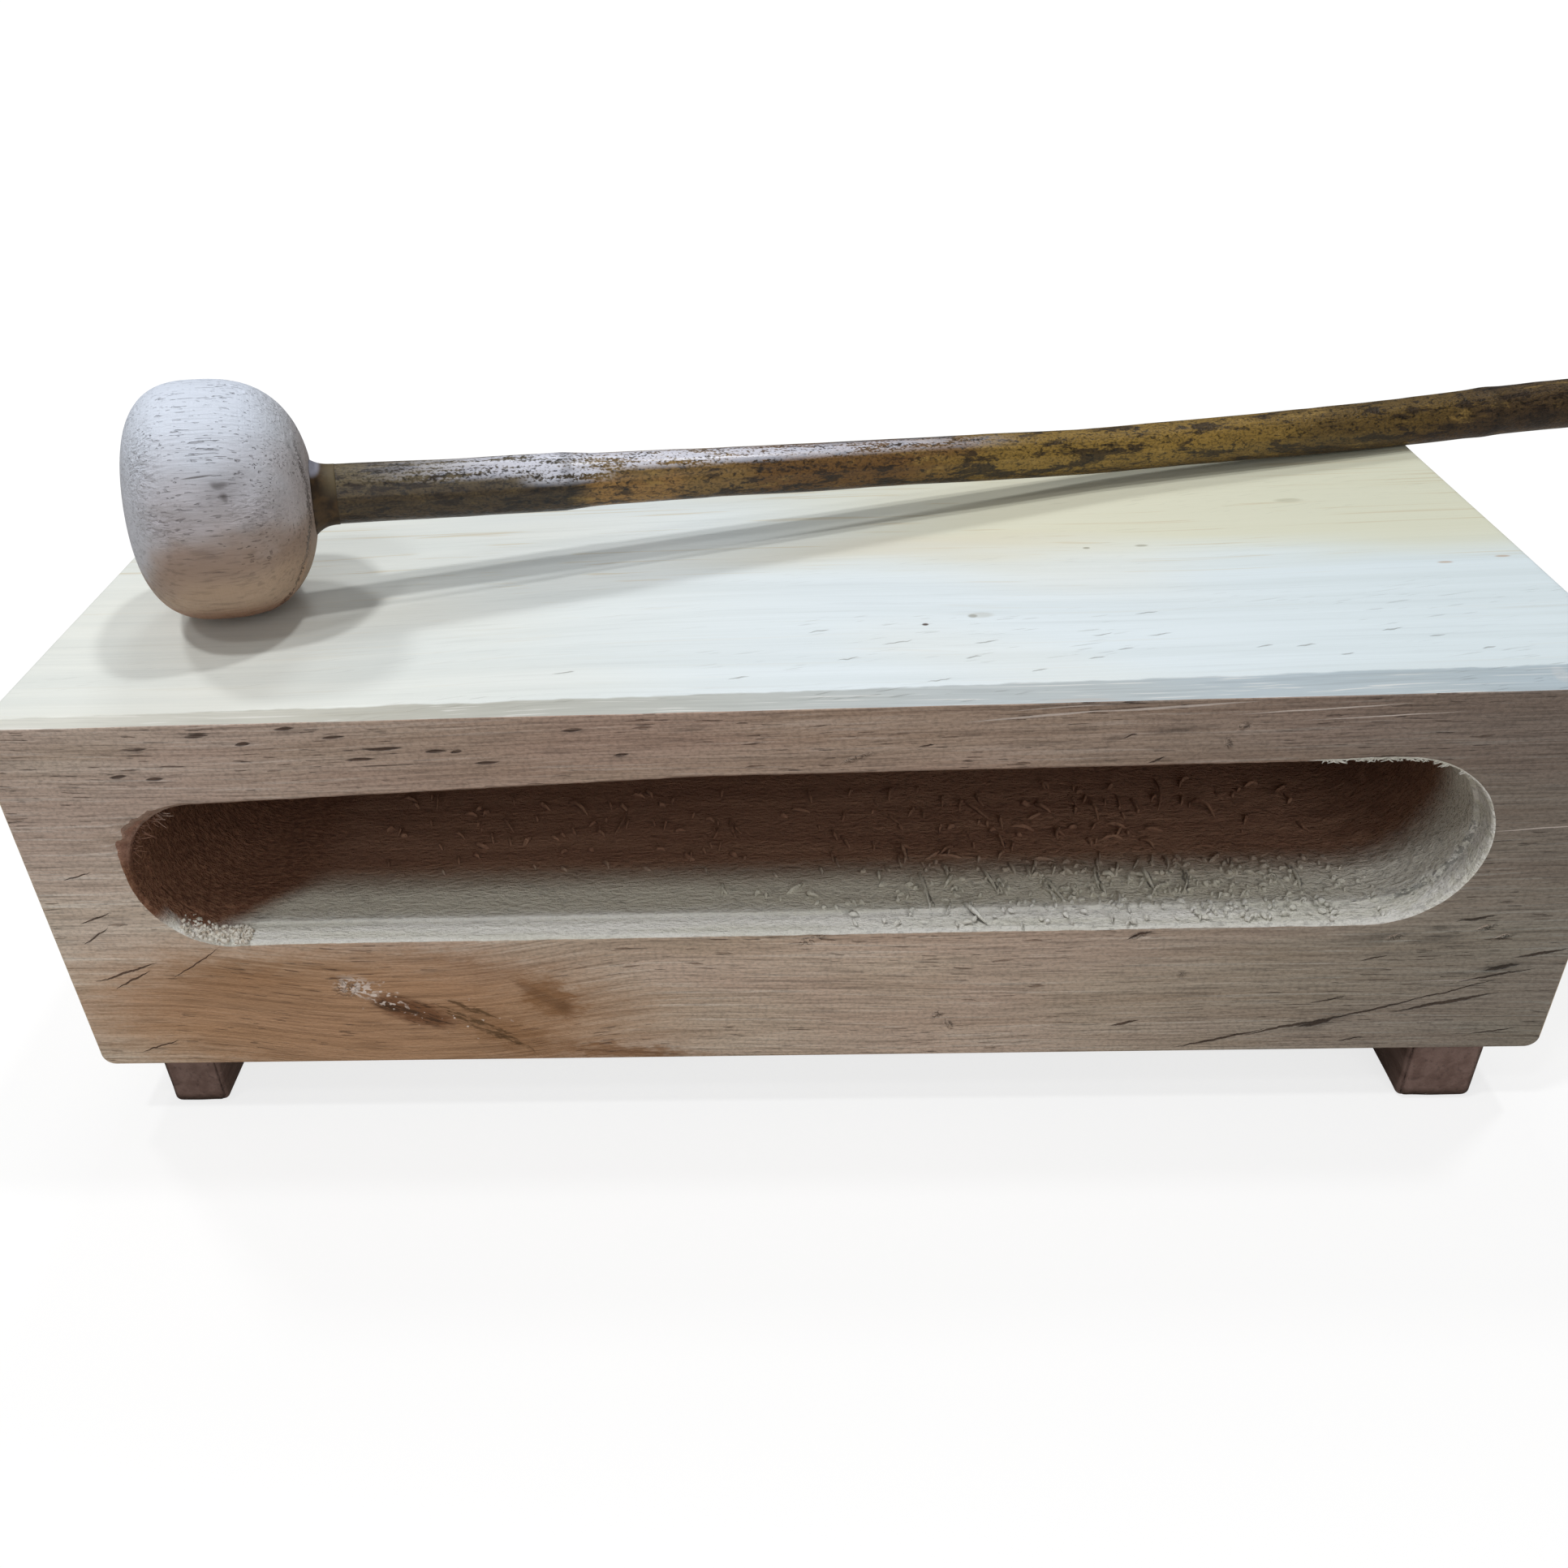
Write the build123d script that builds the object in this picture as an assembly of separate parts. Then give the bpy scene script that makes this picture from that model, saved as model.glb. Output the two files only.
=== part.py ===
from build123d import *
from math import acos, asin, atan, atan2, cos, hypot, pi, sin, tan
import os

# A slotted sound block of pine on two runners, with its cane mallet lying across the top.
# Lengths are in millimetres. X runs along the block, the slot opens towards -Y and Z is up.
# The pieces are drawn round the middle of the block's underside. Before they are written,
# they are all moved alike, so that the origin is the middle of the whole part's box,
# on the surface that the runners stand on.

# Block
BLOCK_LENGTH = 200.0
BLOCK_DEPTH = 81.2
BLOCK_HEIGHT = 56.5
FOOT_ROUNDING = 1.8  # both ends of the underside, in the front view
CREST_ROUNDING = 0.9  # both ends of the top, in the front view
FRONT_EASING = 0.3  # sanding of the front face's rim
BACK_EASING = 0.7  # sanding of the back face's rim
BEVEL_LEFT = 0.6  # planed bevel on the top front edge, at the left end
BEVEL_RIGHT = 2.4  # the same bevel at the right end

# Slot, cut in from the front with a round cutter that was guided by hand
SLOT_FLOOR = 22.1  # from the block's underside
SLOT_DEPTH = 52.0
SLOT_LEFT_HEIGHT = 22.4
SLOT_RIGHT_HEIGHT = 24.7
SLOT_LEFT_MARGIN = 13.5  # from the block's end to the slot's end
SLOT_RIGHT_MARGIN = 14.6
SLOT_CLIMB = 65.0  # length over which the roof climbs from the low left end
MOUTH_DEPTH = 4.0  # first shallow pass, which leaves a ledge all round
MOUTH_LEDGE = 0.45

# Runners glued under the block, from front to back
RUNNER_HEIGHT = 9.8
RUNNER_ROUNDING = 0.9
RUNNER_BACK_RECESS = 2.0
LEFT_RUNNER_WIDTH = 8.0
LEFT_RUNNER_INSET = 7.4  # from the block's end
LEFT_RUNNER_RECESS = 1.8  # from the block's front
RIGHT_RUNNER_WIDTH = 10.0
RIGHT_RUNNER_INSET = 6.6
RIGHT_RUNNER_RECESS = 0.2

# Mallet head, turned as a squat barrel
HEAD_RADIUS = 15.75
HEAD_FREE_LENGTH = 10.9  # from the widest ring to where the free end would close
HEAD_BORE_LENGTH = 13.0  # the same towards the handle
HEAD_FREE_POWER = 2.87  # fullness of the free end's curve, where 2 is an ellipse
HEAD_BORE_POWER = 2.5
HEAD_FREE_FLAT = 5.4  # radius of the flat left at the free end
HEAD_BORE_FLAT = 5.6  # radius of the flat round the bore
BORE_DEPTH = 14.0
HEAD_FROM_LEFT = 24.2  # widest ring from the block's left end
HEAD_FROM_FRONT = 31.2

# Cane handle, whose distances run along its axis from the head's widest ring
MALLET_REACH = 239.0
CANE_HEAD_RADIUS = 4.0
CANE_STEP_RADIUS = 3.66  # just past the first joint ring
CANE_WAIST_RADIUS = 3.45
CANE_BUTT_RADIUS = 3.85
CANE_TIP_ROUNDING = 0.8
RING_DISTANCE = 47.0  # first joint ring of the cane
RING_SPACING = 148.0
RING_HEIGHT = 0.15
RING_WIDTH = 6.0
CROOK_DISTANCE = 126.0  # where the cane, which sags to here, bends up and to the front
CROOK_UP_ANGLE = 3.6 * pi / 180
CROOK_FRONT_ANGLE = 3.1 * pi / 180
CORNER_MARGIN = 2.4  # handle's axis from the block's back face, where it leaves the top

# Glue that holds the handle in the head and stands proud round the mouth of the bore
GLUE_FILM = 0.3
GLUE_FIT = 0.02  # clearance between the glue and each piece of wood
GLUE_BEAD_RADIUS = 5.3
GLUE_BEAD_LENGTH = 3.2
GLUE_BEAD_EDGE = 0.25  # thickness at the bead's thin end

REST_GAP = 0.3  # between the loose mallet and the block
OVERRUN = 5.0  # by which cutters reach past what they cut

# Shapes of curves, as shares of the lengths that they follow
BARREL_SWEEP_SHARES = (0.0, 0.13, 0.26, 0.4, 0.55, 0.7, 0.85, 1.0)
WAIST_SHARES = (0.18, 0.34, 0.5, 0.66, 0.82)
LEFT_END = -BLOCK_LENGTH / 2
RIGHT_END = BLOCK_LENGTH / 2
FRONT_FACE = -BLOCK_DEPTH / 2
BACK_FACE = BLOCK_DEPTH / 2


def front_view(x, z):
    """Point of a front view, whose second coordinate is the height."""
    return Vector(x, FRONT_FACE, z)


def rounded_body():
    """Solid block with its ends rounded in the front view and its two rims eased."""
    outline = Polyline(
        front_view(LEFT_END, 0),
        front_view(RIGHT_END, 0),
        front_view(RIGHT_END, BLOCK_HEIGHT),
        front_view(LEFT_END, BLOCK_HEIGHT),
        close=True,
    )
    body = extrude(make_face(outline), amount=BLOCK_DEPTH, dir=(0, 1, 0))
    body = fillet(body.edges().filter_by(Axis.Y).group_by(Axis.Z)[0], FOOT_ROUNDING)
    body = fillet(body.edges().filter_by(Axis.Y).group_by(Axis.Z)[-1], CREST_ROUNDING)
    body = fillet(body.faces().sort_by(Axis.Y)[0].edges(), FRONT_EASING)
    return fillet(body.faces().sort_by(Axis.Y)[-1].edges(), BACK_EASING)


def bevel_cutter():
    """Wedge that planes the top front edge, wider towards the right."""
    growth = (BEVEL_RIGHT - BEVEL_LEFT) / BLOCK_LENGTH

    def section(x):
        size = BEVEL_LEFT + growth * (x - LEFT_END)
        corner = Vector(x, FRONT_FACE - OVERRUN, BLOCK_HEIGHT + OVERRUN)
        low = Vector(x, FRONT_FACE - OVERRUN, BLOCK_HEIGHT - size - OVERRUN)
        high = Vector(x, FRONT_FACE + size + OVERRUN, BLOCK_HEIGHT + OVERRUN)
        return make_face(Polyline(corner, low, high, close=True))

    return loft([section(LEFT_END - OVERRUN), section(RIGHT_END + OVERRUN)], ruled=True)


def slot_outline():
    """Mouth of the slot: level floor, round ends, and a roof that climbs and levels out."""
    left_radius = SLOT_LEFT_HEIGHT / 2
    right_radius = SLOT_RIGHT_HEIGHT / 2
    left_x = LEFT_END + SLOT_LEFT_MARGIN + left_radius
    right_x = RIGHT_END - SLOT_RIGHT_MARGIN - right_radius
    left_z = SLOT_FLOOR + left_radius
    right_z = SLOT_FLOOR + right_radius
    roof = SLOT_FLOOR + SLOT_RIGHT_HEIGHT
    rise = roof - left_z
    touch_angle = atan2(rise, SLOT_CLIMB) + acos(left_radius / hypot(SLOT_CLIMB, rise))
    touch = front_view(
        left_x + left_radius * cos(touch_angle),
        left_z + left_radius * sin(touch_angle),
    )
    floor_left = front_view(left_x, SLOT_FLOOR)
    floor_right = front_view(right_x, SLOT_FLOOR)
    roof_right = front_view(right_x, roof)
    crest = front_view(left_x + SLOT_CLIMB, roof)
    return make_face([
        Line(floor_left, floor_right),
        ThreePointArc(floor_right, front_view(right_x + right_radius, right_z), roof_right),
        Line(roof_right, crest),
        Line(crest, touch),
        ThreePointArc(touch, front_view(left_x - left_radius, left_z), floor_left),
    ])


def slot_cutter():
    """Two passes of the cutter: a shallow mouth and the deep slot inside its ledge."""
    mouth = slot_outline()
    inner = offset(mouth, -MOUTH_LEDGE, kind=Kind.INTERSECTION)
    before = Pos(0, -OVERRUN, 0)
    first_pass = extrude(before * mouth, amount=OVERRUN + MOUTH_DEPTH, dir=(0, 1, 0))
    deep_pass = extrude(before * inner, amount=OVERRUN + SLOT_DEPTH, dir=(0, 1, 0))
    return first_pass + deep_pass


def make_block():
    """Block with its planed bevel and its slot."""
    return rounded_body() - bevel_cutter() - slot_cutter()


def make_runner(inner_x, outer_x, front_recess):
    """Square strip under the block, with its four lower edges rounded."""
    width = abs(outer_x - inner_x)
    length = BLOCK_DEPTH - front_recess - RUNNER_BACK_RECESS
    middle_y = FRONT_FACE + front_recess + length / 2
    strip = Box(width, length, RUNNER_HEIGHT)
    strip = Pos((inner_x + outer_x) / 2, middle_y, -RUNNER_HEIGHT / 2) * strip
    return fillet(strip.faces().sort_by(Axis.Z)[0].edges(), RUNNER_ROUNDING)


def barrel_curve(length, power, flat_radius):
    """Points of one side of the barrel, from the widest ring out to the flat."""
    end_angle = acos((flat_radius / HEAD_RADIUS) ** (power / 2))
    points = []
    for share in BARREL_SWEEP_SHARES:
        angle = end_angle * share
        along = length * sin(angle) ** (2 / power)
        radius = HEAD_RADIUS * cos(angle) ** (2 / power)
        points.append(Vector(along, radius))
    return points


FREE_SIDE = barrel_curve(HEAD_FREE_LENGTH, HEAD_FREE_POWER, HEAD_FREE_FLAT)
BORE_SIDE = barrel_curve(HEAD_BORE_LENGTH, HEAD_BORE_POWER, HEAD_BORE_FLAT)
HEAD_MOUTH = BORE_SIDE[-1].X  # flat round the bore, along the mallet's axis
BORE_BOTTOM = HEAD_MOUTH - BORE_DEPTH
BORE_RADIUS = CANE_HEAD_RADIUS + GLUE_FILM


def make_head():
    """Barrel turned round the handle's axis, with a blind bore for the handle."""
    curve = [Vector(-point.X, point.Y) for point in reversed(FREE_SIDE)] + BORE_SIDE[1:]
    free_end = curve[0]
    mouth = curve[-1]
    arcs = [ThreePointArc(*points) for points in zip(curve[0::2], curve[1::2], curve[2::2])]
    profile = make_face(arcs + [
        Line(mouth, (mouth.X, BORE_RADIUS)),
        Line((mouth.X, BORE_RADIUS), (BORE_BOTTOM, BORE_RADIUS)),
        Line((BORE_BOTTOM, BORE_RADIUS), (BORE_BOTTOM, 0)),
        Line((BORE_BOTTOM, 0), (free_end.X, 0)),
        Line((free_end.X, 0), free_end),
    ])
    return revolve(profile, Axis.X)


def make_glue():
    """Sleeve of glue inside the bore, with a hollow-sided bead proud of the head."""
    inside = CANE_HEAD_RADIUS + GLUE_FIT
    outside = BORE_RADIUS - GLUE_FIT
    start = BORE_BOTTOM + GLUE_FILM
    seat = HEAD_MOUTH + GLUE_FIT
    tip = seat + GLUE_BEAD_LENGTH
    waist = (seat + GLUE_BEAD_LENGTH / 3, inside + (GLUE_BEAD_RADIUS - inside) / 3)
    profile = make_face([
        Polyline((tip, inside), (start, inside), (start, outside), (seat, outside)),
        Line((seat, outside), (seat, GLUE_BEAD_RADIUS)),
        ThreePointArc((seat, GLUE_BEAD_RADIUS), waist, (tip, inside + GLUE_BEAD_EDGE)),
        Line((tip, inside + GLUE_BEAD_EDGE), (tip, inside)),
    ])
    return revolve(profile, Axis.X)


def cane_stations():
    """Distance and radius of each section of the cane, from the head to the butt."""
    first_ring = RING_DISTANCE
    second_ring = RING_DISTANCE + RING_SPACING
    half_ring = RING_WIDTH / 2
    stations = [
        (first_ring - half_ring, CANE_HEAD_RADIUS),
        (first_ring, CANE_HEAD_RADIUS + RING_HEIGHT),
        (first_ring + half_ring, CANE_STEP_RADIUS),
    ]
    for share in WAIST_SHARES:
        end_radius = CANE_STEP_RADIUS if share < 0.5 else CANE_BUTT_RADIUS
        closeness = (2 * share - 1) ** 2
        radius = CANE_WAIST_RADIUS + (end_radius - CANE_WAIST_RADIUS) * closeness
        stations.append((first_ring + RING_SPACING * share, radius))
    stations += [
        (second_ring - half_ring, CANE_BUTT_RADIUS),
        (second_ring, CANE_BUTT_RADIUS + RING_HEIGHT),
        (second_ring + half_ring, CANE_BUTT_RADIUS),
        (MALLET_REACH - CANE_TIP_ROUNDING, CANE_BUTT_RADIUS),
        (MALLET_REACH, CANE_BUTT_RADIUS - CANE_TIP_ROUNDING),
    ]
    return stations


def cane_radius(distance):
    """Radius of the cane at a distance, straight between its sections."""
    stations = cane_stations()
    for (near, near_radius), (far, far_radius) in zip(stations, stations[1:]):
        if near <= distance <= far:
            share = (distance - near) / (far - near)
            return near_radius + (far_radius - near_radius) * share
    return CANE_HEAD_RADIUS


def crook(distance):
    """Offsets of the cane's axis to the front and up, which grow past the crook."""
    past = max(distance - CROOK_DISTANCE, 0)
    return past * tan(CROOK_FRONT_ANGLE), past * tan(CROOK_UP_ANGLE)


def cane_section(distance, radius):
    """Round section across the mallet's axis."""
    to_front, up = crook(distance)
    middle = (distance, -to_front, up)
    return Plane(origin=middle, x_dir=(0, 1, 0), z_dir=(1, 0, 0)) * Circle(radius)


def make_handle():
    """Round tenon in the head, then the cane with its joint rings and crook."""
    tenon_start = BORE_BOTTOM + GLUE_FILM
    tenon_end = HEAD_MOUTH + GLUE_FIT + GLUE_BEAD_LENGTH
    tenon = extrude(cane_section(tenon_start, CANE_HEAD_RADIUS), tenon_end - tenon_start)
    stations = [(tenon_end, CANE_HEAD_RADIUS)] + cane_stations()
    return tenon + loft([cane_section(*station) for station in stations], ruled=True)


def mallet_place():
    """Where the mallet lies: head on the top, handle over the right back corner."""
    head_x = LEFT_END + HEAD_FROM_LEFT
    head_y = FRONT_FACE + HEAD_FROM_FRONT
    across = BACK_FACE - CORNER_MARGIN - head_y
    along = RIGHT_END - head_x
    support = hypot(along, across)
    to_front, up = crook(support)
    heading = atan2(across, along) + atan(to_front / support)
    slope = asin((HEAD_RADIUS - cane_radius(support)) / hypot(support, up)) + atan(up / support)
    direction = Vector(cos(heading) * cos(slope), sin(heading) * cos(slope), -sin(slope))
    upward = Vector(cos(heading) * sin(slope), sin(heading) * sin(slope), cos(slope))
    centre = Vector(head_x, head_y, BLOCK_HEIGHT + REST_GAP + HEAD_RADIUS)
    return Plane(origin=centre, x_dir=direction, z_dir=upward).location


lying = mallet_place()
pieces = {
    "block": make_block(),
    "runner_left": make_runner(
        LEFT_END + LEFT_RUNNER_INSET + LEFT_RUNNER_WIDTH,
        LEFT_END + LEFT_RUNNER_INSET,
        LEFT_RUNNER_RECESS,
    ),
    "runner_right": make_runner(
        RIGHT_END - RIGHT_RUNNER_INSET - RIGHT_RUNNER_WIDTH,
        RIGHT_END - RIGHT_RUNNER_INSET,
        RIGHT_RUNNER_RECESS,
    ),
    "mallet_head": lying * make_head(),
    "mallet_handle": lying * make_handle(),
    "mallet_glue": lying * make_glue(),
}

whole = Compound(children=[Compound(piece.solids()) for piece in pieces.values()]).bounding_box()
to_origin = Pos(-whole.center().X, -whole.center().Y, -whole.min.Z)
os.makedirs("parts", exist_ok=True)
for name, piece in pieces.items():
    export_step(to_origin * piece, f"parts/{name}.step")
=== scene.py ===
import itertools
import math
import random

import bpy
import numpy as np
from mathutils import Matrix, Vector


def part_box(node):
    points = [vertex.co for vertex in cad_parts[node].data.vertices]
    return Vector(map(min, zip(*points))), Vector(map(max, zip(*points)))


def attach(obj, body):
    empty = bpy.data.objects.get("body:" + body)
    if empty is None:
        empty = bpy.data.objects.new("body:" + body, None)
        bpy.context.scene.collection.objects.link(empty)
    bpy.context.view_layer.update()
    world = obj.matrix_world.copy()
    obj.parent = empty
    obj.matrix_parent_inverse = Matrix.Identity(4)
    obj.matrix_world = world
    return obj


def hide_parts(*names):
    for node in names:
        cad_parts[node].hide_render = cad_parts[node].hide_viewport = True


# A slotted sound block of pine with its cane mallet lying on it. Each wooden piece is a mesh of
# rings in millimetres, in its own frame, and stands for the CAD node of the same place. In the
# block's frame X runs along it, Y to its back and Z up, from the middle of its underside. In the
# mallet's frame X runs along the handle from the head's widest ring.

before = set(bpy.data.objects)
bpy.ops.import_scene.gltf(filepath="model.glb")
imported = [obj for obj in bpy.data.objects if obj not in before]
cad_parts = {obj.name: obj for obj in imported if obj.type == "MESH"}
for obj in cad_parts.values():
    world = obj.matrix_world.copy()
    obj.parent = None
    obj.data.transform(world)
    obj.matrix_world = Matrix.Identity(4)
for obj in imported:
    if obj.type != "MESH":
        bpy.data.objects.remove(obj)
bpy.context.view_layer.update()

MM = 0.001
BLOCK_LOW, BLOCK_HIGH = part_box("block")
BLOCK_PLACE = Matrix.Translation(
    ((BLOCK_LOW.x + BLOCK_HIGH.x) / 2, (BLOCK_LOW.y + BLOCK_HIGH.y) / 2, BLOCK_LOW.z)
)
LENGTH, DEPTH, HEIGHT = (BLOCK_HIGH - BLOCK_LOW) / MM
FRONT = -DEPTH / 2
BACK = DEPTH / 2
RIGHT = LENGTH / 2

# Slot, as in the CAD
SLOT_FLOOR = 22.1
SLOT_DEPTH = 52.0
SLOT_LEFT_RADIUS = 11.2
SLOT_RIGHT_RADIUS = 12.35
SLOT_LEFT_WALL = 13.5
SLOT_RIGHT_WALL = 14.6
SLOT_LEFT_X = SLOT_LEFT_WALL + SLOT_LEFT_RADIUS - RIGHT
SLOT_RIGHT_X = RIGHT - SLOT_RIGHT_WALL - SLOT_RIGHT_RADIUS
SLOT_CLIMB = 65.0
SLOT_ROOF = SLOT_FLOOR + 2 * SLOT_RIGHT_RADIUS
MOUTH_DEPTH = 4.0
MOUTH_LEDGE = 0.45

# Edges of the block
FOOT_ROUNDING = 1.8
CREST_ROUNDING = 0.9
FRONT_EASING = 0.3
BACK_EASING = 0.7
RUNNER_ROUNDING = 0.9
BEVEL_DROP = (0.30, 0.85)  # of the worn front arris, at its left and right end
BEVEL_BACK = (2.2, 5.0)

# Mallet, as in the CAD
HEAD_RADIUS = 15.75
HEAD_X = 24.2 - RIGHT
HEAD_Y = 31.2 + FRONT
REST_GAP = 0.3
HEADING = math.radians(16.107)
SLOPE = math.radians(4.887)
FREE_SIDE = (10.9, 2.87, 5.4)  # length, fullness and flat radius of one side of the barrel
BORE_SIDE = (13.0, 2.5, 5.6)
BORE_DEPTH = 14.0
CANE_RADIUS = 4.0
GLUE_FILM = 0.3
GLUE_FIT = 0.02
BEAD_RADIUS = 5.3
BEAD_LENGTH = 3.2
REACH = 239.0
RINGS = (47.0, 195.0)
CROOK = 126.0
CROOK_UP = math.tan(math.radians(3.6))
CROOK_FRONT = math.tan(math.radians(3.1))

MALLET_PLACE = BLOCK_PLACE @ Matrix.Translation(
    (HEAD_X * MM, HEAD_Y * MM, (HEIGHT + REST_GAP + HEAD_RADIUS) * MM)
) @ Matrix.Rotation(HEADING, 4, "Z") @ Matrix.Rotation(SLOPE, 4, "Y")
MALLET_AXES = [tuple(axis) for axis in MALLET_PLACE.to_3x3().transposed()]

SEED = 11
rng = np.random.default_rng(SEED)
random.seed(SEED)
LATTICE_SIZE = 64
LATTICE = rng.uniform(-1, 1, (LATTICE_SIZE, LATTICE_SIZE, LATTICE_SIZE))


# Shapes


def rumple(points, sizes):
    """Smooth noise from -1 to 1, whose bumps have these sizes along each axis."""
    spot = np.asarray(points) / np.asarray(sizes, float)
    cell = np.floor(spot).astype(int)
    part = spot - cell
    part = part * part * (3 - 2 * part)
    total = 0
    for corner in itertools.product((0, 1), repeat=3):
        weight = np.prod(np.where(corner, part, 1 - part), axis=-1)
        i, j, k = np.moveaxis((cell + corner) % LATTICE_SIZE, -1, 0)
        total = total + weight * LATTICE[i, j, k]
    return total


def smooth(value, low, high):
    """0 below low, 1 above high, and a smooth step between them."""
    share = np.clip((value - low) / (high - low), 0, 1)
    return share * share * (3 - 2 * share)


def arc(centre, radius, start, end, count=40):
    """Points of a circle in the front view, between two angles in degrees."""
    angles = np.radians(np.linspace(start, end, count))
    return np.column_stack((centre[0] + radius * np.cos(angles), centre[1] + radius * np.sin(angles)))


def spread(path, count):
    """The path cut into count equal steps, without its last point."""
    steps = np.linalg.norm(np.diff(path, axis=0), axis=1)
    run = np.concatenate(([0], np.cumsum(steps)))
    at = np.linspace(0, run[-1], count, endpoint=False)
    return np.column_stack([np.interp(at, run, path[:, axis]) for axis in (0, 1)])


def in_space(flat, y=0.0):
    """Points of the front view, put at one depth or at a depth each."""
    return np.column_stack((flat[:, 0], np.broadcast_to(y, len(flat)), flat[:, 1]))


def add_piece(name, place, points, faces, kinds, finishes):
    """Object of these points, in mm, and faces, whose kinds number their finishes.

    The turn in place goes into the mesh, so that the object's box stays level and tight.
    """
    mesh = bpy.data.meshes.new(name)
    turned_points = np.asarray(points) @ np.array(place.to_3x3().transposed())
    mesh.from_pydata((turned_points * MM).tolist(), [], faces)
    mesh.polygons.foreach_set("material_index", kinds)
    mesh.polygons.foreach_set("use_smooth", [True] * len(faces))
    for finish in finishes:
        mesh.materials.append(finish)
    mesh.update()
    piece = bpy.data.objects.new(name, mesh)
    bpy.context.scene.collection.objects.link(piece)
    piece.matrix_world = Matrix.Translation(place.translation)
    return piece


def ring_faces(index):
    """Quads between rings, given as rows of the numbers of their points."""
    ahead = np.roll(index, -1, axis=1)
    quads = np.stack((index[:-1], index[1:], ahead[1:], ahead[:-1]), axis=-1)
    return quads.reshape(-1, 4).tolist()


def ring_mesh(name, place, rings, bands, finishes, cap_first=None, cap_last=None):
    """Object whose rings are joined by quads. bands gives each face's finish, by ring and step."""
    rings = np.asarray(rings)
    ring_count, step_count = rings.shape[:2]
    index = np.arange(ring_count * step_count).reshape(ring_count, step_count)
    faces = ring_faces(index)
    kinds = np.broadcast_to(bands, (ring_count - 1, step_count)).ravel().tolist()
    for cap, rim in ((cap_first, index[0]), (cap_last, index[-1][::-1])):
        if cap is not None:
            faces.append(rim.tolist())
            kinds.append(cap)
    return add_piece(name, place, rings.reshape(-1, 3), faces, kinds, finishes)


# Finishes


def srgb(red, green, blue):
    """Linear colour from the 0 to 255 values of a display."""

    def linear(value):
        share = value / 255
        return share / 12.92 if share <= 0.04045 else ((share + 0.055) / 1.055) ** 2.4

    return (linear(red), linear(green), linear(blue), 1.0)


class Value:
    """What a node gives. The usual signs make the nodes that work on it."""

    def __init__(self, finish, socket):
        self.finish = finish
        self.socket = socket
        self.work = finish.math if socket.type == "VALUE" else finish.vector

    def __add__(self, other):
        return self.work("ADD", self, other)

    def __sub__(self, other):
        return self.work("SUBTRACT", self, other)

    def __rsub__(self, other):
        return self.work("SUBTRACT", other, self)

    def __mul__(self, other):
        return self.work("MULTIPLY", self, other)

    def __truediv__(self, other):
        return self.work("DIVIDE", self, other)

    def __abs__(self):
        return self.work("ABSOLUTE", self)

    def dot(self, axis):
        return self.finish.vector("DOT_PRODUCT", self, axis)

    def length(self):
        return self.finish.vector("LENGTH", self)

    def step(self, low, high, start=0.0, end=1.0):
        """Smooth step from start to end as the value goes from low to high."""
        return self.finish.node(
            "ShaderNodeMapRange", self, low, high, start, end, interpolation_type="SMOOTHSTEP"
        )


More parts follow.
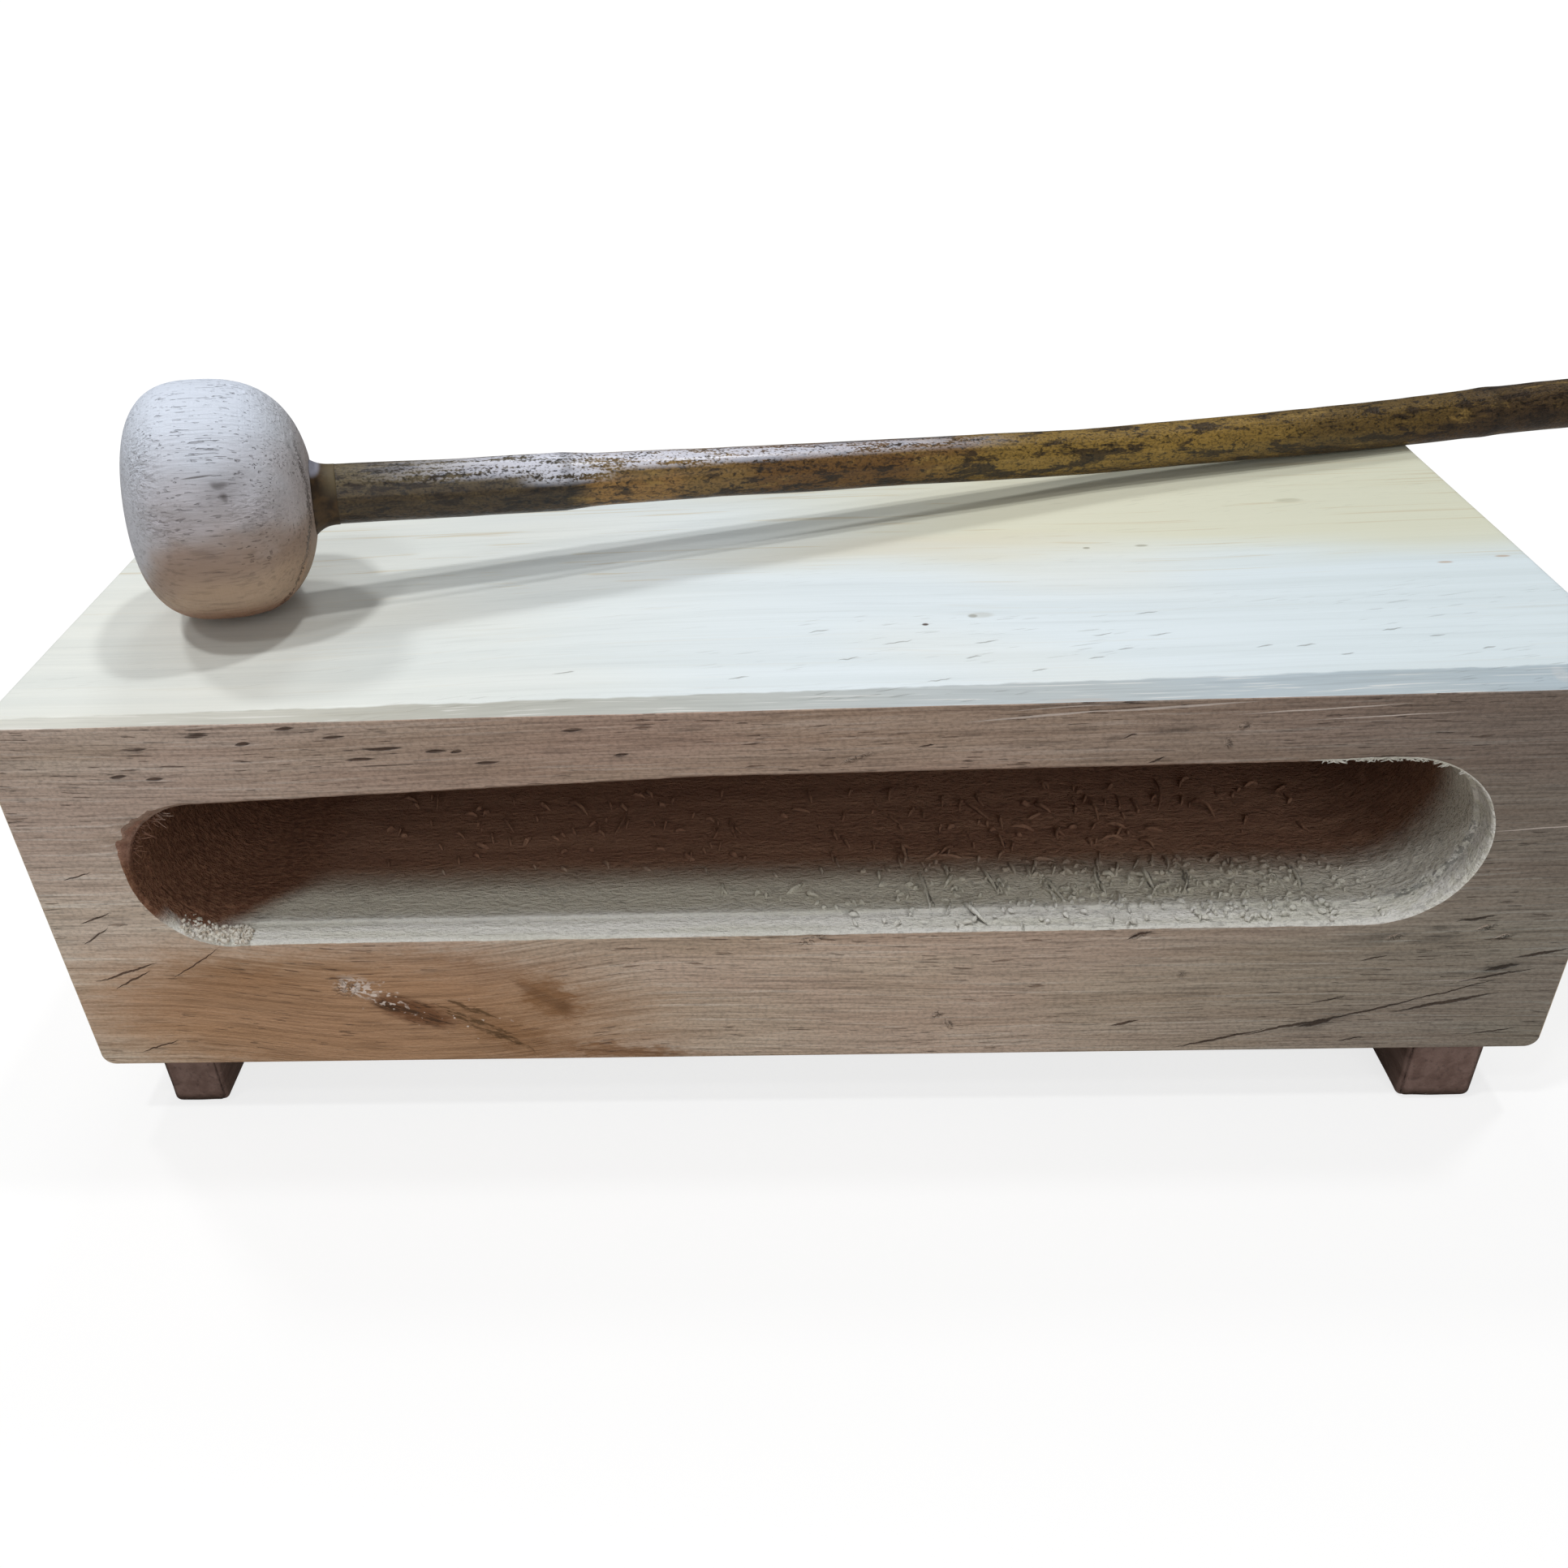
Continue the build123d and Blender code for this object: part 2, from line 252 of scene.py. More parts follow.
class Finish:
    """Principled material with short calls for its nodes. Its place is in mm, in the piece's frame."""

    def __init__(self, name, roughness=0.6, axes=None):
        self.material = bpy.data.materials.new(name)
        self.material.use_nodes = True
        self.tree = self.material.node_tree
        self.shader = self.tree.nodes["Principled BSDF"]
        self.shader.inputs["Roughness"].default_value = roughness
        self.colour = None
        self.place = self.node("ShaderNodeTexCoord", output="Object") * (1 / MM)
        if axes:
            self.place = self.point(*[self.place.dot(axis) for axis in axes])
        self.x, self.y, self.z = [
            self.node("ShaderNodeSeparateXYZ", self.place, output=axis) for axis in range(3)
        ]

    def feed(self, socket, value):
        if isinstance(value, Value):
            self.tree.links.new(value.socket, socket)
        elif value is not None:
            socket.default_value = value

    def node(self, kind, *values, output=0, named=(), **settings):
        """Output of a new node. Its inputs come in order, or in pairs of a name and a value."""
        node = self.tree.nodes.new(kind)
        for key, value in settings.items():
            setattr(node, key, value)
        for socket, value in zip(node.inputs, values):
            self.feed(socket, value)
        for key, value in named:
            self.feed(node.inputs[key], value)
        return Value(self, node.outputs[output])

    def math(self, operation, *values):
        return self.node("ShaderNodeMath", *values, operation=operation)

    def vector(self, operation, *values):
        """Vector maths, where a number stands for three of it."""
        triples = [(value,) * 3 if isinstance(value, (int, float)) else value for value in values]
        output = "Value" if operation in ("DOT_PRODUCT", "LENGTH") else "Vector"
        return self.node("ShaderNodeVectorMath", *triples, output=output, operation=operation)

    def point(self, x, y, z):
        return self.node("ShaderNodeCombineXYZ", x, y, z)

    def noise(self, sizes, detail=2.0, roughness=0.5, seed=0, place=None, distortion=0.0):
        """Noise from 0 to 1, whose bumps have these sizes along each axis, in mm."""
        spot = (place or self.place) / sizes + (seed * 7.31, seed * 3.17, seed * 5.23)
        named = (("Scale", 1), ("Detail", detail), ("Roughness", roughness), ("Distortion", distortion))
        return self.node("ShaderNodeTexNoise", spot, named=named)

    def shake(self, sizes):
        """Vector that wanders round zero, over a fifth of these sizes."""
        return self.node("ShaderNodeTexNoise", self.place / sizes, output=1) - 0.5

    def turn(self, place, axis, angle):
        return self.node("ShaderNodeVectorRotate", place, (0, 0, 0), axis, angle)

    def mix(self, share, first, second, blend="MIX"):
        named = ((0, share), (6, first), (7, second))
        return self.node("ShaderNodeMix", output=2, named=named, data_type="RGBA", blend_type=blend)

    def tint(self, share, colour):
        """Turns the finish's colour into another where share is 1."""
        self.colour = self.mix(share, self.colour, colour)

    def shade(self, share, darkest):
        """Multiplies the finish's colour by darkest where share is 1."""
        grey = (darkest, darkest, darkest, 1.0) if isinstance(darkest, float) else darkest
        self.colour = self.mix(share, self.colour, grey, "MULTIPLY")

    def spot(self, centre, radii, turn=0.0, soft=0.5, place=None):
        """1 inside an ellipse of a plane seen from the front, and 0 outside its soft rim."""
        away = (place or self.place) - (centre[0], 0, centre[1])
        cos, sin = math.cos(math.radians(turn)), math.sin(math.radians(turn))
        along = away.dot((cos / radii[0], 0, sin / radii[0]))
        across = away.dot((-sin / radii[1], 0, cos / radii[1]))
        return self.point(along, across, 0.0).length().step(1 - soft, 1 + soft, 1.0, 0.0)

    def line(self, start, end, width, place=None):
        """1 on a crack between two points seen from the front, tapered to both its ends."""
        away = (place or self.place) - (start[0], 0, start[1])
        run = Vector((end[0] - start[0], 0, end[1] - start[1]))
        side = Vector((-run.z, 0, run.x)).normalized()
        along = away.dot(tuple(run)) / run.length_squared
        taper = self.most(along * (1.0 - along), 0.0) * (4 * width)
        return (taper - abs(away.dot(tuple(side)))).step(0.0, width * 0.6)

    def lines(self, rows, place=None):
        """The lines of a table of starts, ends and widths."""
        return self.most(*[self.line(*row, place) for row in rows])

    def most(self, *values):
        """Largest of several values."""
        found = values[0]
        for value in values[1:]:
            found = self.math("MAXIMUM", found, value)
        return found

    def bump(self, height, depth, normal=None):
        """Normal for a height from 0 to 1 that is depth mm tall."""
        named = (("Distance", depth * MM), ("Height", height), ("Normal", normal))
        return self.node("ShaderNodeBump", named=named)

    def done(self, normal=None, roughness=None):
        self.feed(self.shader.inputs["Base Color"], self.colour)
        self.feed(self.shader.inputs["Normal"], normal)
        self.feed(self.shader.inputs["Roughness"], roughness)
        return self.material


# Finish of the front

FRONT_DARK = srgb(203, 180, 158)
FRONT_LIGHT = srgb(223, 204, 184)
FRONT_PINK = srgb(217, 190, 173)
FRONT_PALE = srgb(236, 224, 210)

# Each place below is an x and a z of the block
KNOT = (-52.5, 9.5)
STAINS = (  # place, half sizes, turn, softness and strength of each brown stain round the knot
    ((-33.8, 11.4), (4.6, 3.0), -44, 0.5, 1.0),
    ((-42.5, 17.0), (9.0, 1.6), -14, 0.8, 0.45),
    ((-78.0, 16.6), (8.0, 2.4), -8, 0.8, 0.5),
    ((-24.5, 1.3), (10.0, 1.2), -6, 0.6, 1.0),
    ((-39.0, 4.4), (9.0, 2.6), -30, 0.8, 0.7),
)
KNOT_TAIL = (  # start, end and width of each dark line that trails off the knot
    ((-51.0, 11.4), (-37.5, 1.8), 1.1), ((-49.5, 12.0), (-40.5, 7.6), 0.6),
    ((-47.5, 8.4), (-39.0, 4.6), 0.7), ((-43.0, 6.2), (-36.5, 1.2), 0.6),
    ((-48.5, 9.8), (-43.0, 8.6), 0.5),
)
FLAKES = (  # place, half sizes, turn and softness of the pale flakes, and how many specks show
    ((-60.2, 13.9), (2.6, 1.6), -20, 0.6, 0.46, 0.52),
    ((-57.0, 12.2), (4.0, 1.6), -40, 0.6, 0.60, 0.66),
    ((-50.0, 9.5), (10.0, 4.5), -20, 0.5, 0.73, 0.77),
)
CRACKS = (
    ((-97.0, 15.3), (-86.4, 19.1), 0.20), ((-94.4, 14.2), (-87.9, 17.7), 0.16),
    ((-95.8, 33.2), (-91.3, 34.5), 0.14), ((-95.7, 25.7), (-90.6, 27.7), 0.16),
    ((-96.3, 22.2), (-91.7, 25.3), 0.14), ((-94.1, 2.2), (-87.1, 4.8), 0.14),
    ((-85.9, 15.8), (-77.2, 21.5), 0.10), ((51.0, 0.6), (64.0, 4.2), 0.26),
    ((60.0, 2.8), (74.5, 6.4), 0.30), ((70.0, 5.0), (84.0, 9.6), 0.22),
    ((80.0, 8.2), (92.0, 12.4), 0.16), ((67.2, 4.0), (73.0, 6.1), 0.42),
    ((79.2, 6.6), (93.0, 10.0), 0.36), ((86.5, 11.8), (96.5, 14.2), 0.20),
    ((89.4, 13.7), (94.2, 14.8), 0.42), ((92.5, 15.7), (99.8, 17.5), 0.30),
    ((68.2, 8.4), (73.2, 9.8), 0.14), ((73.4, 15.8), (77.0, 16.5), 0.16),
    ((84.0, 22.0), (89.4, 23.0), 0.24), ((90.0, 2.6), (96.8, 3.7), 0.14),
    ((73.0, 1.6), (77.0, 2.3), 0.14), ((42.3, 4.8), (46.5, 5.9), 0.26),
    ((42.9, 20.0), (46.5, 21.5), 0.24), ((15.3, 50.4), (17.4, 50.8), 0.14),
    ((42.6, 47.3), (44.8, 48.0), 0.16), ((39.4, 50.8), (41.1, 51.5), 0.14),
)
NICKS = (  # x, z, half width, half height and depth
    (20.7, 5.7, 0.4, 0.9, 0.35), (19.1, 7.4, 0.8, 0.4, 0.35), (53.3, 52.1, 0.6, 0.5, 0.35),
    (51.8, 49.8, 0.3, 0.7, 0.25), (88.4, 21.0, 1.1, 0.35, 0.3), (90.9, 19.4, 1.2, 0.3, 0.3),
    (77.3, 19.7, 1.0, 0.4, 0.25), (8.0, 49.0, 1.6, 0.3, 0.3), (2.5, 21.0, 1.8, 0.5, 0.35),
    (45.0, 20.8, 1.4, 0.4, 0.35), (50.9, 14.0, 0.5, 0.5, 0.15), (-61.5, 13.6, 1.6, 1.2, 0.2),
)
SCRATCHES = (
    ((19.0, 53.6), (40.0, 54.8), 0.20), ((34.0, 54.4), (56.0, 55.5), 0.24),
    ((25.0, 55.0), (40.0, 55.6), 0.10), ((50.0, 53.6), (74.0, 54.6), 0.14),
    ((58.0, 52.6), (80.0, 53.4), 0.10), ((-75.0, 55.8), (-66.0, 56.2), 0.10),
    ((84.0, 36.0), (98.0, 37.0), 0.12), ((80.0, 12.0), (92.0, 12.4), 0.08),
)
DASHES = (  # x, z and length of each dash of resin
    (-72.1, 54.7, 2.6), (-80.4, 52.9, 3.0), (-60.9, 55.4, 2.0), (-55.2, 53.8, 2.2), (-49.5, 52.2, 4.2),
    (-42.9, 51.6, 2.2), (-40.4, 51.5, 1.2), (-25.9, 54.1, 2.2), (-20.4, 50.4, 1.6), (-83.4, 49.1, 1.8),
    (-78.9, 48.7, 1.8), (-36.9, 49.8, 2.4), (-52.5, 50.6, 3.0), (-66.5, 53.2, 1.6),
)
SMUDGES = (  # place, half sizes and turn
    ((74.5, 19.6), (3.4, 0.8), 4), ((82.4, 19.3), (2.6, 0.6), 4), ((82.5, 21.1), (1.1, 0.5), 10),
    ((91.8, 14.4), (3.0, 0.8), 12), ((70.0, 4.9), (4.0, 0.7), 16), ((46.0, 51.8), (3.4, 0.4), 6),
    ((38.6, 50.9), (1.3, 0.45), 12), ((36.0, 55.8), (13.0, 0.45), 2),
)


class FrontPine(Finish):
    """Front face: fine level grain, resin dashes, cracks, and the knot under the slot's left end."""

    def __init__(self):
        super().__init__("pine_front", roughness=0.66)
        lift = (self.place - (KNOT[0], FRONT, KNOT[1])).length().step(6.0, 36.0, 3.5, 0.0)
        wander = self.noise((90, 50, 30), 1) * 5.0
        gentle = self.noise((5, 5, 3), 1, seed=11) * 0.7
        jagged = self.noise((0.9, 0.9, 5), seed=14) * 0.5
        straight = self.noise((9, 9, 3), 1, seed=17) * 0.5
        warp = self.shake((9, 5, 4)) * (9.0, 0.0, 4.0)
        self.flow = self.raised(lift + wander)
        self.nearly = self.point(self.x, self.y, self.z - 0.6 + (gentle + jagged))
        self.level = self.raised(gentle - 0.35)
        self.straight = self.raised(straight - 0.25)
        self.bent = self.place + warp
        self.loose = self.nearly + warp * 0.25
        self.streaks = self.noise((70, 12, 2.2), 3, 0.6, place=self.flow)
        self.stripes = self.noise((25, 4, 0.62), 3, 0.7, seed=1, place=self.flow)
        self.fine = self.noise((8, 3, 0.36), 2, 0.6, seed=3, place=self.flow)
        self.grit = self.noise((0.6, 0.6, 0.45), seed=15)

    def raised(self, height):
        return self.point(self.x, self.y, self.z + height)

    def grain(self):
        patches = self.noise((34, 20, 10), seed=2)
        self.colour = self.mix(self.streaks.step(0.30, 0.70), FRONT_DARK, FRONT_LIGHT)
        self.tint(patches.step(0.35, 0.7, 0.0, 0.6), FRONT_PINK)
        self.shade(self.stripes.step(0.50, 0.34), 0.77)
        self.tint(self.stripes.step(0.54, 0.64, 0.0, 0.5), FRONT_PALE)
        self.shade(self.fine.step(0.50, 0.36), 0.76)
        self.shade(self.grit.step(0.56, 0.36), 0.82)

    def knot_ground(self):
        """Tints the wood round the knot, and gives the share of its brown ground."""
        zone = self.spot((-62, 8.2), (38, 12.4), -3, 0.45, self.bent)
        self.tint(zone * 0.8, srgb(193, 146, 104))
        rings = self.noise((18, 8, 0.8), 3, 0.6, seed=4, place=self.flow)
        self.tint(zone * rings.step(0.48, 0.62) * 0.4, srgb(160, 124, 92))
        self.shade(zone * self.most(self.stripes.step(0.48, 0.34), self.fine.step(0.5, 0.34)), 0.80)
        stains = [
            self.spot(centre, radii, turn, soft, self.bent) * share
            for centre, radii, turn, soft, share in STAINS
        ]
        self.tint(self.most(*stains) * 0.7, srgb(142, 96, 50))
        dark_edge = self.most(
            self.line((-39.5, 15.4), (-30.0, 8.0), 1.2, self.nearly) * 0.6,
            self.spot((-32.2, 9.9), (1.5, 1.0), -40, 0.7, self.nearly),
            self.line((-34.0, 2.2), (-15.0, 0.5), 0.35, self.nearly) * 0.8,
        )
        self.tint(dark_edge * 0.6, srgb(112, 78, 48))
        return zone

    def knot_core(self):
        """Tints the knot itself: its frayed tail, its core and heart, and pale flakes on them."""
        slanted = self.turn(self.place, (0, 1, 0), -0.42)
        core_grain = self.noise((2.0, 3, 0.36), 3, 0.65, seed=12, place=slanted)
        frayed = core_grain.step(0.40, 0.52, 0.1, 1.0)
        core = self.spot((-53.0, 9.4), (5.8, 2.0), -24, 0.4, self.loose)
        self.tint(self.lines(KNOT_TAIL, self.loose) * frayed * 0.8, srgb(90, 64, 32))
        self.tint(core * 0.85, srgb(116, 72, 38))
        heart = self.most(
            self.line((-59.4, 11.2), (-51.0, 8.6), 0.9, self.nearly) * frayed,
            self.line((-56.0, 10.4), (-47.0, 6.4), 0.5, self.nearly) * frayed,
            core * core_grain.step(0.52, 0.62),
        )
        self.tint(heart * 0.85, srgb(66, 42, 20))
        specks = self.noise((0.8, 0.8, 0.6), 1, seed=6)
        flakes = [
            self.spot(centre, radii, turn, soft) * specks.step(low, high)
            for centre, radii, turn, soft, low, high in FLAKES
        ]
        self.tint(self.most(*flakes) * 0.85, srgb(246, 232, 222))

    def marks(self):
        """Shades the dashes, pores, cracks and smudges, and gives the share of what lies deep."""
        dashes = [
            self.line((x - size * 0.7, z - 0.1), (x + size * 0.7, z + 0.1), 0.30, self.level)
            for x, z, size in DASHES
        ]
        dashes = self.most(*dashes) * self.fine.step(0.62, 0.50, 0.35, 1.0)
        halos = [self.spot((x, z), (size * 0.9, 0.7), 0, 0.8, self.nearly) for x, z, size in DASHES[:12]]
        smudges = [self.spot(centre, radii, turn, 0.8, self.loose) for centre, radii, turn in SMUDGES]
        pores = self.noise((4.5, 2.0, 0.3), 1, seed=8, place=self.flow).step(0.66, 0.72)
        pores = pores * self.noise((30, 12, 8), 1, seed=9).step(0.44, 0.58)
        cracks = self.lines(CRACKS, self.nearly)
        self.shade(self.most(*halos) * 0.3, 0.7)
        self.shade(self.most(*smudges) * 0.75, 0.5)
        self.shade(pores * 0.6, srgb(150, 126, 108))
        self.shade(dashes * 0.9, srgb(104, 80, 66))
        self.shade(cracks * 0.9, srgb(104, 82, 68))
        return self.most(cracks, pores, dashes)

    def at_nicks(self, count, turn, shift=0.0, wider=1.0, higher=1.0):
        """Spots at the first nicks, moved by shift to the right and by half of it down."""
        spots = [
            self.spot((x + shift, z - shift / 2), (wide * wider, high * higher), turn, 0.6)
            for x, z, wide, high, _ in NICKS[:count]
        ]
        return self.most(*spots)

    def nicks(self):
        """Paints a highlight on the upper rim and shade in the pit of the first nicks, tints the scratches,
        and gives the share of the nicks.
        """
        nick_highlights = self.at_nicks(8, 25, -0.3, 0.8, 0.5)
        nick_shade = self.at_nicks(6, 25, 0.3, 0.6, 0.5)
        # Painted highlight on the upper rim of each nick, and painted shade in its pit.
        self.tint(nick_highlights * 0.6, srgb(206, 186, 170))
        self.shade(nick_shade * 0.6, 0.4)
        self.tint(self.lines(SCRATCHES, self.straight) * 0.8, srgb(220, 208, 200))
        return self.at_nicks(len(NICKS), 20) * self.grit.step(0.40, 0.56)

    def finished(self):
        self.grain()
        zone = self.knot_ground()
        self.knot_core()
        deep = self.marks()
        # Painted light falloff: lighter towards the left end, darker upwards, and darker towards the right,
        # standing in for how the lamps fall on the front.
        self.shade(self.x.step(-30.0, -92.0) * (1.0 - zone), (1.22, 1.34, 1.42, 1.0))
        self.shade(self.z.step(18.0, 44.0), (0.74, 0.69, 0.69, 1.0))
        self.shade(self.x.step(5.0, 105.0), (0.47, 0.53, 0.56, 1.0))
        ridges = self.bump(self.stripes + (self.fine + self.grit), 0.13)
        return self.done(self.bump(self.streaks + self.nicks() - deep, 0.3, ridges))


# Finish of the top

TOP_MARKS = (  # x and y of each mark, its half sizes, its strength and its colour
    (17.8, -20.4, 0.42, 0.34, 0.95, srgb(74, 56, 44)),
    (24.1, -18.4, 0.6, 0.5, 0.55, srgb(120, 116, 100)),
    (25.2, -18.2, 1.6, 0.8, 0.3, srgb(170, 166, 146)),
    (74.7, 16.5, 2.0, 0.8, 0.28, srgb(150, 142, 108)),
    (42.4, 1.8, 0.5, 0.3, 0.6, srgb(120, 112, 84)),
    (50.1, 2.0, 0.9, 0.35, 0.5, srgb(128, 120, 92)),
    (88.3, -6.8, 1.0, 0.3, 0.6, srgb(190, 150, 112)),
    (96.3, -5.5, 1.0, 0.3, 0.6, srgb(190, 150, 112)),
    (89.3, -37.6, 0.9, 1.5, 0.8, srgb(250, 252, 252)),
    (34.0, -40.0, 4.0, 0.3, 0.7, srgb(242, 236, 230)),
)
TOP_PORES = (  # x, y and length of the short pores near the front
    (4.1, -21.3, 3.2), (13.9, -25.1, 4.6), (7.5, -29.0, 3.0), (25.0, -25.7, 3.6), (22.9, -29.5, 2.4),
    (39.5, -24.7, 3.0), (41.6, -28.6, 2.4), (46.2, -19.0, 3.6), (46.5, -25.1, 3.6), (74.6, -25.6, 3.2),
    (63.1, -29.1, 3.0), (67.2, -31.6, 2.0), (58.2, -29.0, 2.6), (79.2, -27.6, 2.4), (83.9, -31.1, 2.0),
    (37.7, -30.7, 2.4), (18.2, -35.2, 3.4), (-6.0, -33.0, 3.0), (-28.0, -30.5, 3.2), (30.4, -33.4, 2.4),
)


def top_heartwood(wood, flow):
    """Yellow heartwood behind and to the right, with an uneven darker rim and bands."""
    uneven = wood.noise((60, 14, 14), seed=3, place=flow) - 0.5
    edge = wood.y + uneven * 16.0
    fingers = uneven * wood.y.step(20.0, 40.0, 10.0, 90.0)
    side = (wood.x + fingers) / wood.y.step(28.0, 40.0, 1.0, 3.4)
    side = side.step(-24.0, 34.0) * edge.step(-7.0, 7.0)
    wood.tint(side * 0.8, srgb(231, 227, 198))
    rim = abs(edge - 2.0).step(0.0, 7.0, 1.0, 0.0) * wood.x.step(56.0, 5.0)
    wood.tint(side * rim * 0.6, srgb(218, 200, 164))
    bands = wood.noise((60, 0.9, 0.9), seed=5, place=flow).step(0.61, 0.70)
    wood.tint(bands * edge.step(-14.0, 4.0, 0.08, 0.5), srgb(212, 198, 166))


def top_pores(wood, flow, upper):
    """Share of the short pores: scattered ones, and on the top those of the table."""
    pores = wood.noise((5.0, 0.34, 0.34), 1, seed=8, place=wood.turn(flow, (0, 0, 1), -0.2))
    pores = pores.step(0.65, 0.73) * wood.noise((40, 9, 9), 1, seed=9).step(0.46, 0.6)
    near_front = wood.y.step(-12.0, -20.0, 0.2, 0.5) * wood.x.step(-60.0, -10.0, 0.35, 1.0)
    sway = wood.noise((1.2, 1.2, 1.2), 1, seed=16) * 0.7
    plan = wood.point(wood.x, 0.0, wood.y + (sway - 0.35))
    drawn = [
        wood.line((x - size / 2, y - size * 0.12), (x + size / 2, y + size * 0.12), 0.18, plan)
        for x, y, size in TOP_PORES
    ]
    return wood.most(pores * near_front, wood.most(*drawn) * upper)


def top_edge(wood, flow, upper):
    """Split wood of the worn slope along the front, greyed by painted shade that stands in for a steeper
    face turned from the light.
    """
    border = wood.y - wood.x * ((BEVEL_BACK[1] - BEVEL_BACK[0]) / LENGTH) - (FRONT + sum(BEVEL_BACK) / 2)
    border = border + (wood.noise((5, 5, 5), seed=14) - 0.5)
    bevelled = upper * border.step(0.25, -0.25)
    frayed = wood.noise((14, 0.35, 0.35), seed=12, place=flow)
    # The slope's darkening is painted shade, as a steeper face would get from the lamps.
    worn = wood.mix(wood.x.step(-20.0, 60.0), (0.60, 0.57, 0.52, 1.0), (0.60, 0.63, 0.66, 1.0))
    wood.shade(bevelled * wood.x.step(-100.0, -40.0, 0.5, 1.0), worn)
    wood.shade(bevelled * frayed.step(0.5, 0.32), 0.90)
    wood.tint(bevelled * frayed.step(0.60, 0.68) * 0.5, srgb(238, 236, 232))


def pine_top():
    """Top and back: pale wood with faint long streaks, short pores, and yellow heartwood behind."""
    wood = Finish("pine_top", roughness=0.45)
    wander = wood.noise((90, 50, 40), 1) * 9.0
    flow = wood.point(wood.x, wood.y + wander, wood.z + wander)
    streaks = wood.noise((130, 4.0, 4.0), 3, 0.6, place=flow)
    fine = wood.noise((40, 0.7, 0.7), 2, 0.6, seed=1, place=flow)
    cream = wood.noise((60, 30, 30), 1, seed=13)
    cool = wood.x.step(-75.0, 15.0)
    dark = wood.mix(cool, srgb(232, 236, 231), srgb(227, 237, 241))
    light = wood.mix(cool, srgb(240, 243, 237), srgb(235, 245, 250))
    wood.colour = wood.mix(streaks.step(0.32, 0.68), dark, light)
    wood.tint(cream.step(0.48, 0.68, 0.0, 0.4), srgb(239, 239, 229))
    wood.shade(fine.step(0.46, 0.28), 0.95)
    top_heartwood(wood, flow)
    upper = wood.math("GREATER_THAN", wood.z, HEIGHT - 3.0)
    pores = top_pores(wood, flow, upper)
    wood.shade(pores * 0.6, srgb(160, 156, 150))
    for x, y, wide, long, share, tint in TOP_MARKS:
        away = (wood.place - (x, y, HEIGHT)) / (wide, long, 4.0)
        wood.tint(away.length().step(0.6, 1.3, share, 0.0) * upper, tint)
    # Painted shade: darker towards the right end, standing in for the lamps' falloff.
    wood.shade(wood.x.step(20.0, 95.0), (0.92, 0.94, 0.94, 1.0))
    top_edge(wood, flow, upper)
    return wood.done(wood.bump(streaks - pores, 0.06, wood.bump(fine, 0.03)))


# Finishes of the slot, the ends and the runners

FIBRES = (  # x, depth, length and heading of the long torn fibres on the slot's floor
    (17.1, 12.1, 8.6, -84), (25.7, 12.8, 5.8, -75), (33.9, 10.6, 6.2, -73), (41.0, 12.2, 5.0, -95),
    (47.3, 12.0, 5.6, -86), (52.4, 11.8, 6.4, -98), (66.5, 12.3, 5.6, -85), (22.4, 5.2, 5.2, -62),
    (28.9, 20.3, 3.2, -80), (15.3, 17.9, 3.2, -84), (53.8, 34.0, 8.6, -96), (42.8, 28.0, 4.9, -79),
    (25.1, 29.8, 6.2, -62), (57.5, 27.4, 4.6, -55), (-43.2, 27.3, 4.2, -60), (-33.9, 31.2, 5.0, -45),
    (-24.7, 28.6, 6.0, -100), (-54.8, 34.3, 4.8, -75), (-9.2, 25.9, 5.0, -80), (-9.8, 10.4, 3.0, -90),
)
SHADED_FIBRES = FIBRES[:10]
SHADOW_AWAY = 0.4


def fibre_shadows(wood):
    """Share of the dark lines beside the fibres nearest to the mouth."""
    sway = wood.noise((2.0, 2.0, 2.0), seed=18) * 2.4
    plan = wood.point(wood.x + (sway - 1.2), 0.0, wood.y - FRONT)
    lines = []
    for x, start, length, heading in SHADED_FIBRES:
        ahead = (math.cos(math.radians(heading)), math.sin(math.radians(heading)))
        end = (x + SHADOW_AWAY + length * ahead[0], start + length * ahead[1])
        lines.append(wood.line((x + SHADOW_AWAY, start), end, 0.34, plan))
    return wood.most(*lines) * wood.z.step(26.0, 24.5)


def slot_ground(wood, fuzz, depth):
    """Pale wood at the mouth, with painted shade that greys it behind the mouth and turns it brown further
    in.
    """
    streaks = wood.noise((40, 3.0, 1.6), 3, 0.6).step(0.35, 0.65)
    wood.colour = wood.mix(streaks, srgb(240, 239, 228), srgb(252, 251, 246))
    # Painted shade: greyer behind the mouth, lighter towards the right end, and brown further in where the
    # slot lies in shadow.
    shaded_cream = wood.mix(wood.x.step(55.0, 85.0), srgb(224, 219, 203), srgb(240, 237, 226))
    wood.tint(depth.step(4.5, 8.0), shaded_cream)
    brown = wood.mix(streaks, srgb(147, 108, 86), srgb(164, 125, 101))
    wood.tint(depth.step(10.0, 18.0), brown)


def slot_left_end(wood, fuzz, flecks, depth):
    """Painted shadow of the round left end, brown over its wall and the floor beside it with a slanted edge,
    and a lighter lip.
    """
    slanted = wood.x - wood.math("MINIMUM", depth, 14.0) + fuzz * 6.0
    left_end = slanted.step(-82.0, -75.0, 1.0, 0.0)
    inner = wood.most(depth.step(1.6, 4.0), wood.z.step(24.5, 27.5))
    # Painted shadow: the colour below browns the left end and the floor it shades.
    lit = wood.mix(flecks.step(0.40, 0.64), srgb(124, 84, 62), srgb(154, 112, 86))
    wood.tint(left_end * inner, lit)
    lip = wood.y.step(FRONT + 2.2, FRONT + 0.6) * left_end * wood.z.step(34.0, 38.0)
    wood.tint(lip * 0.8, srgb(178, 138, 120))


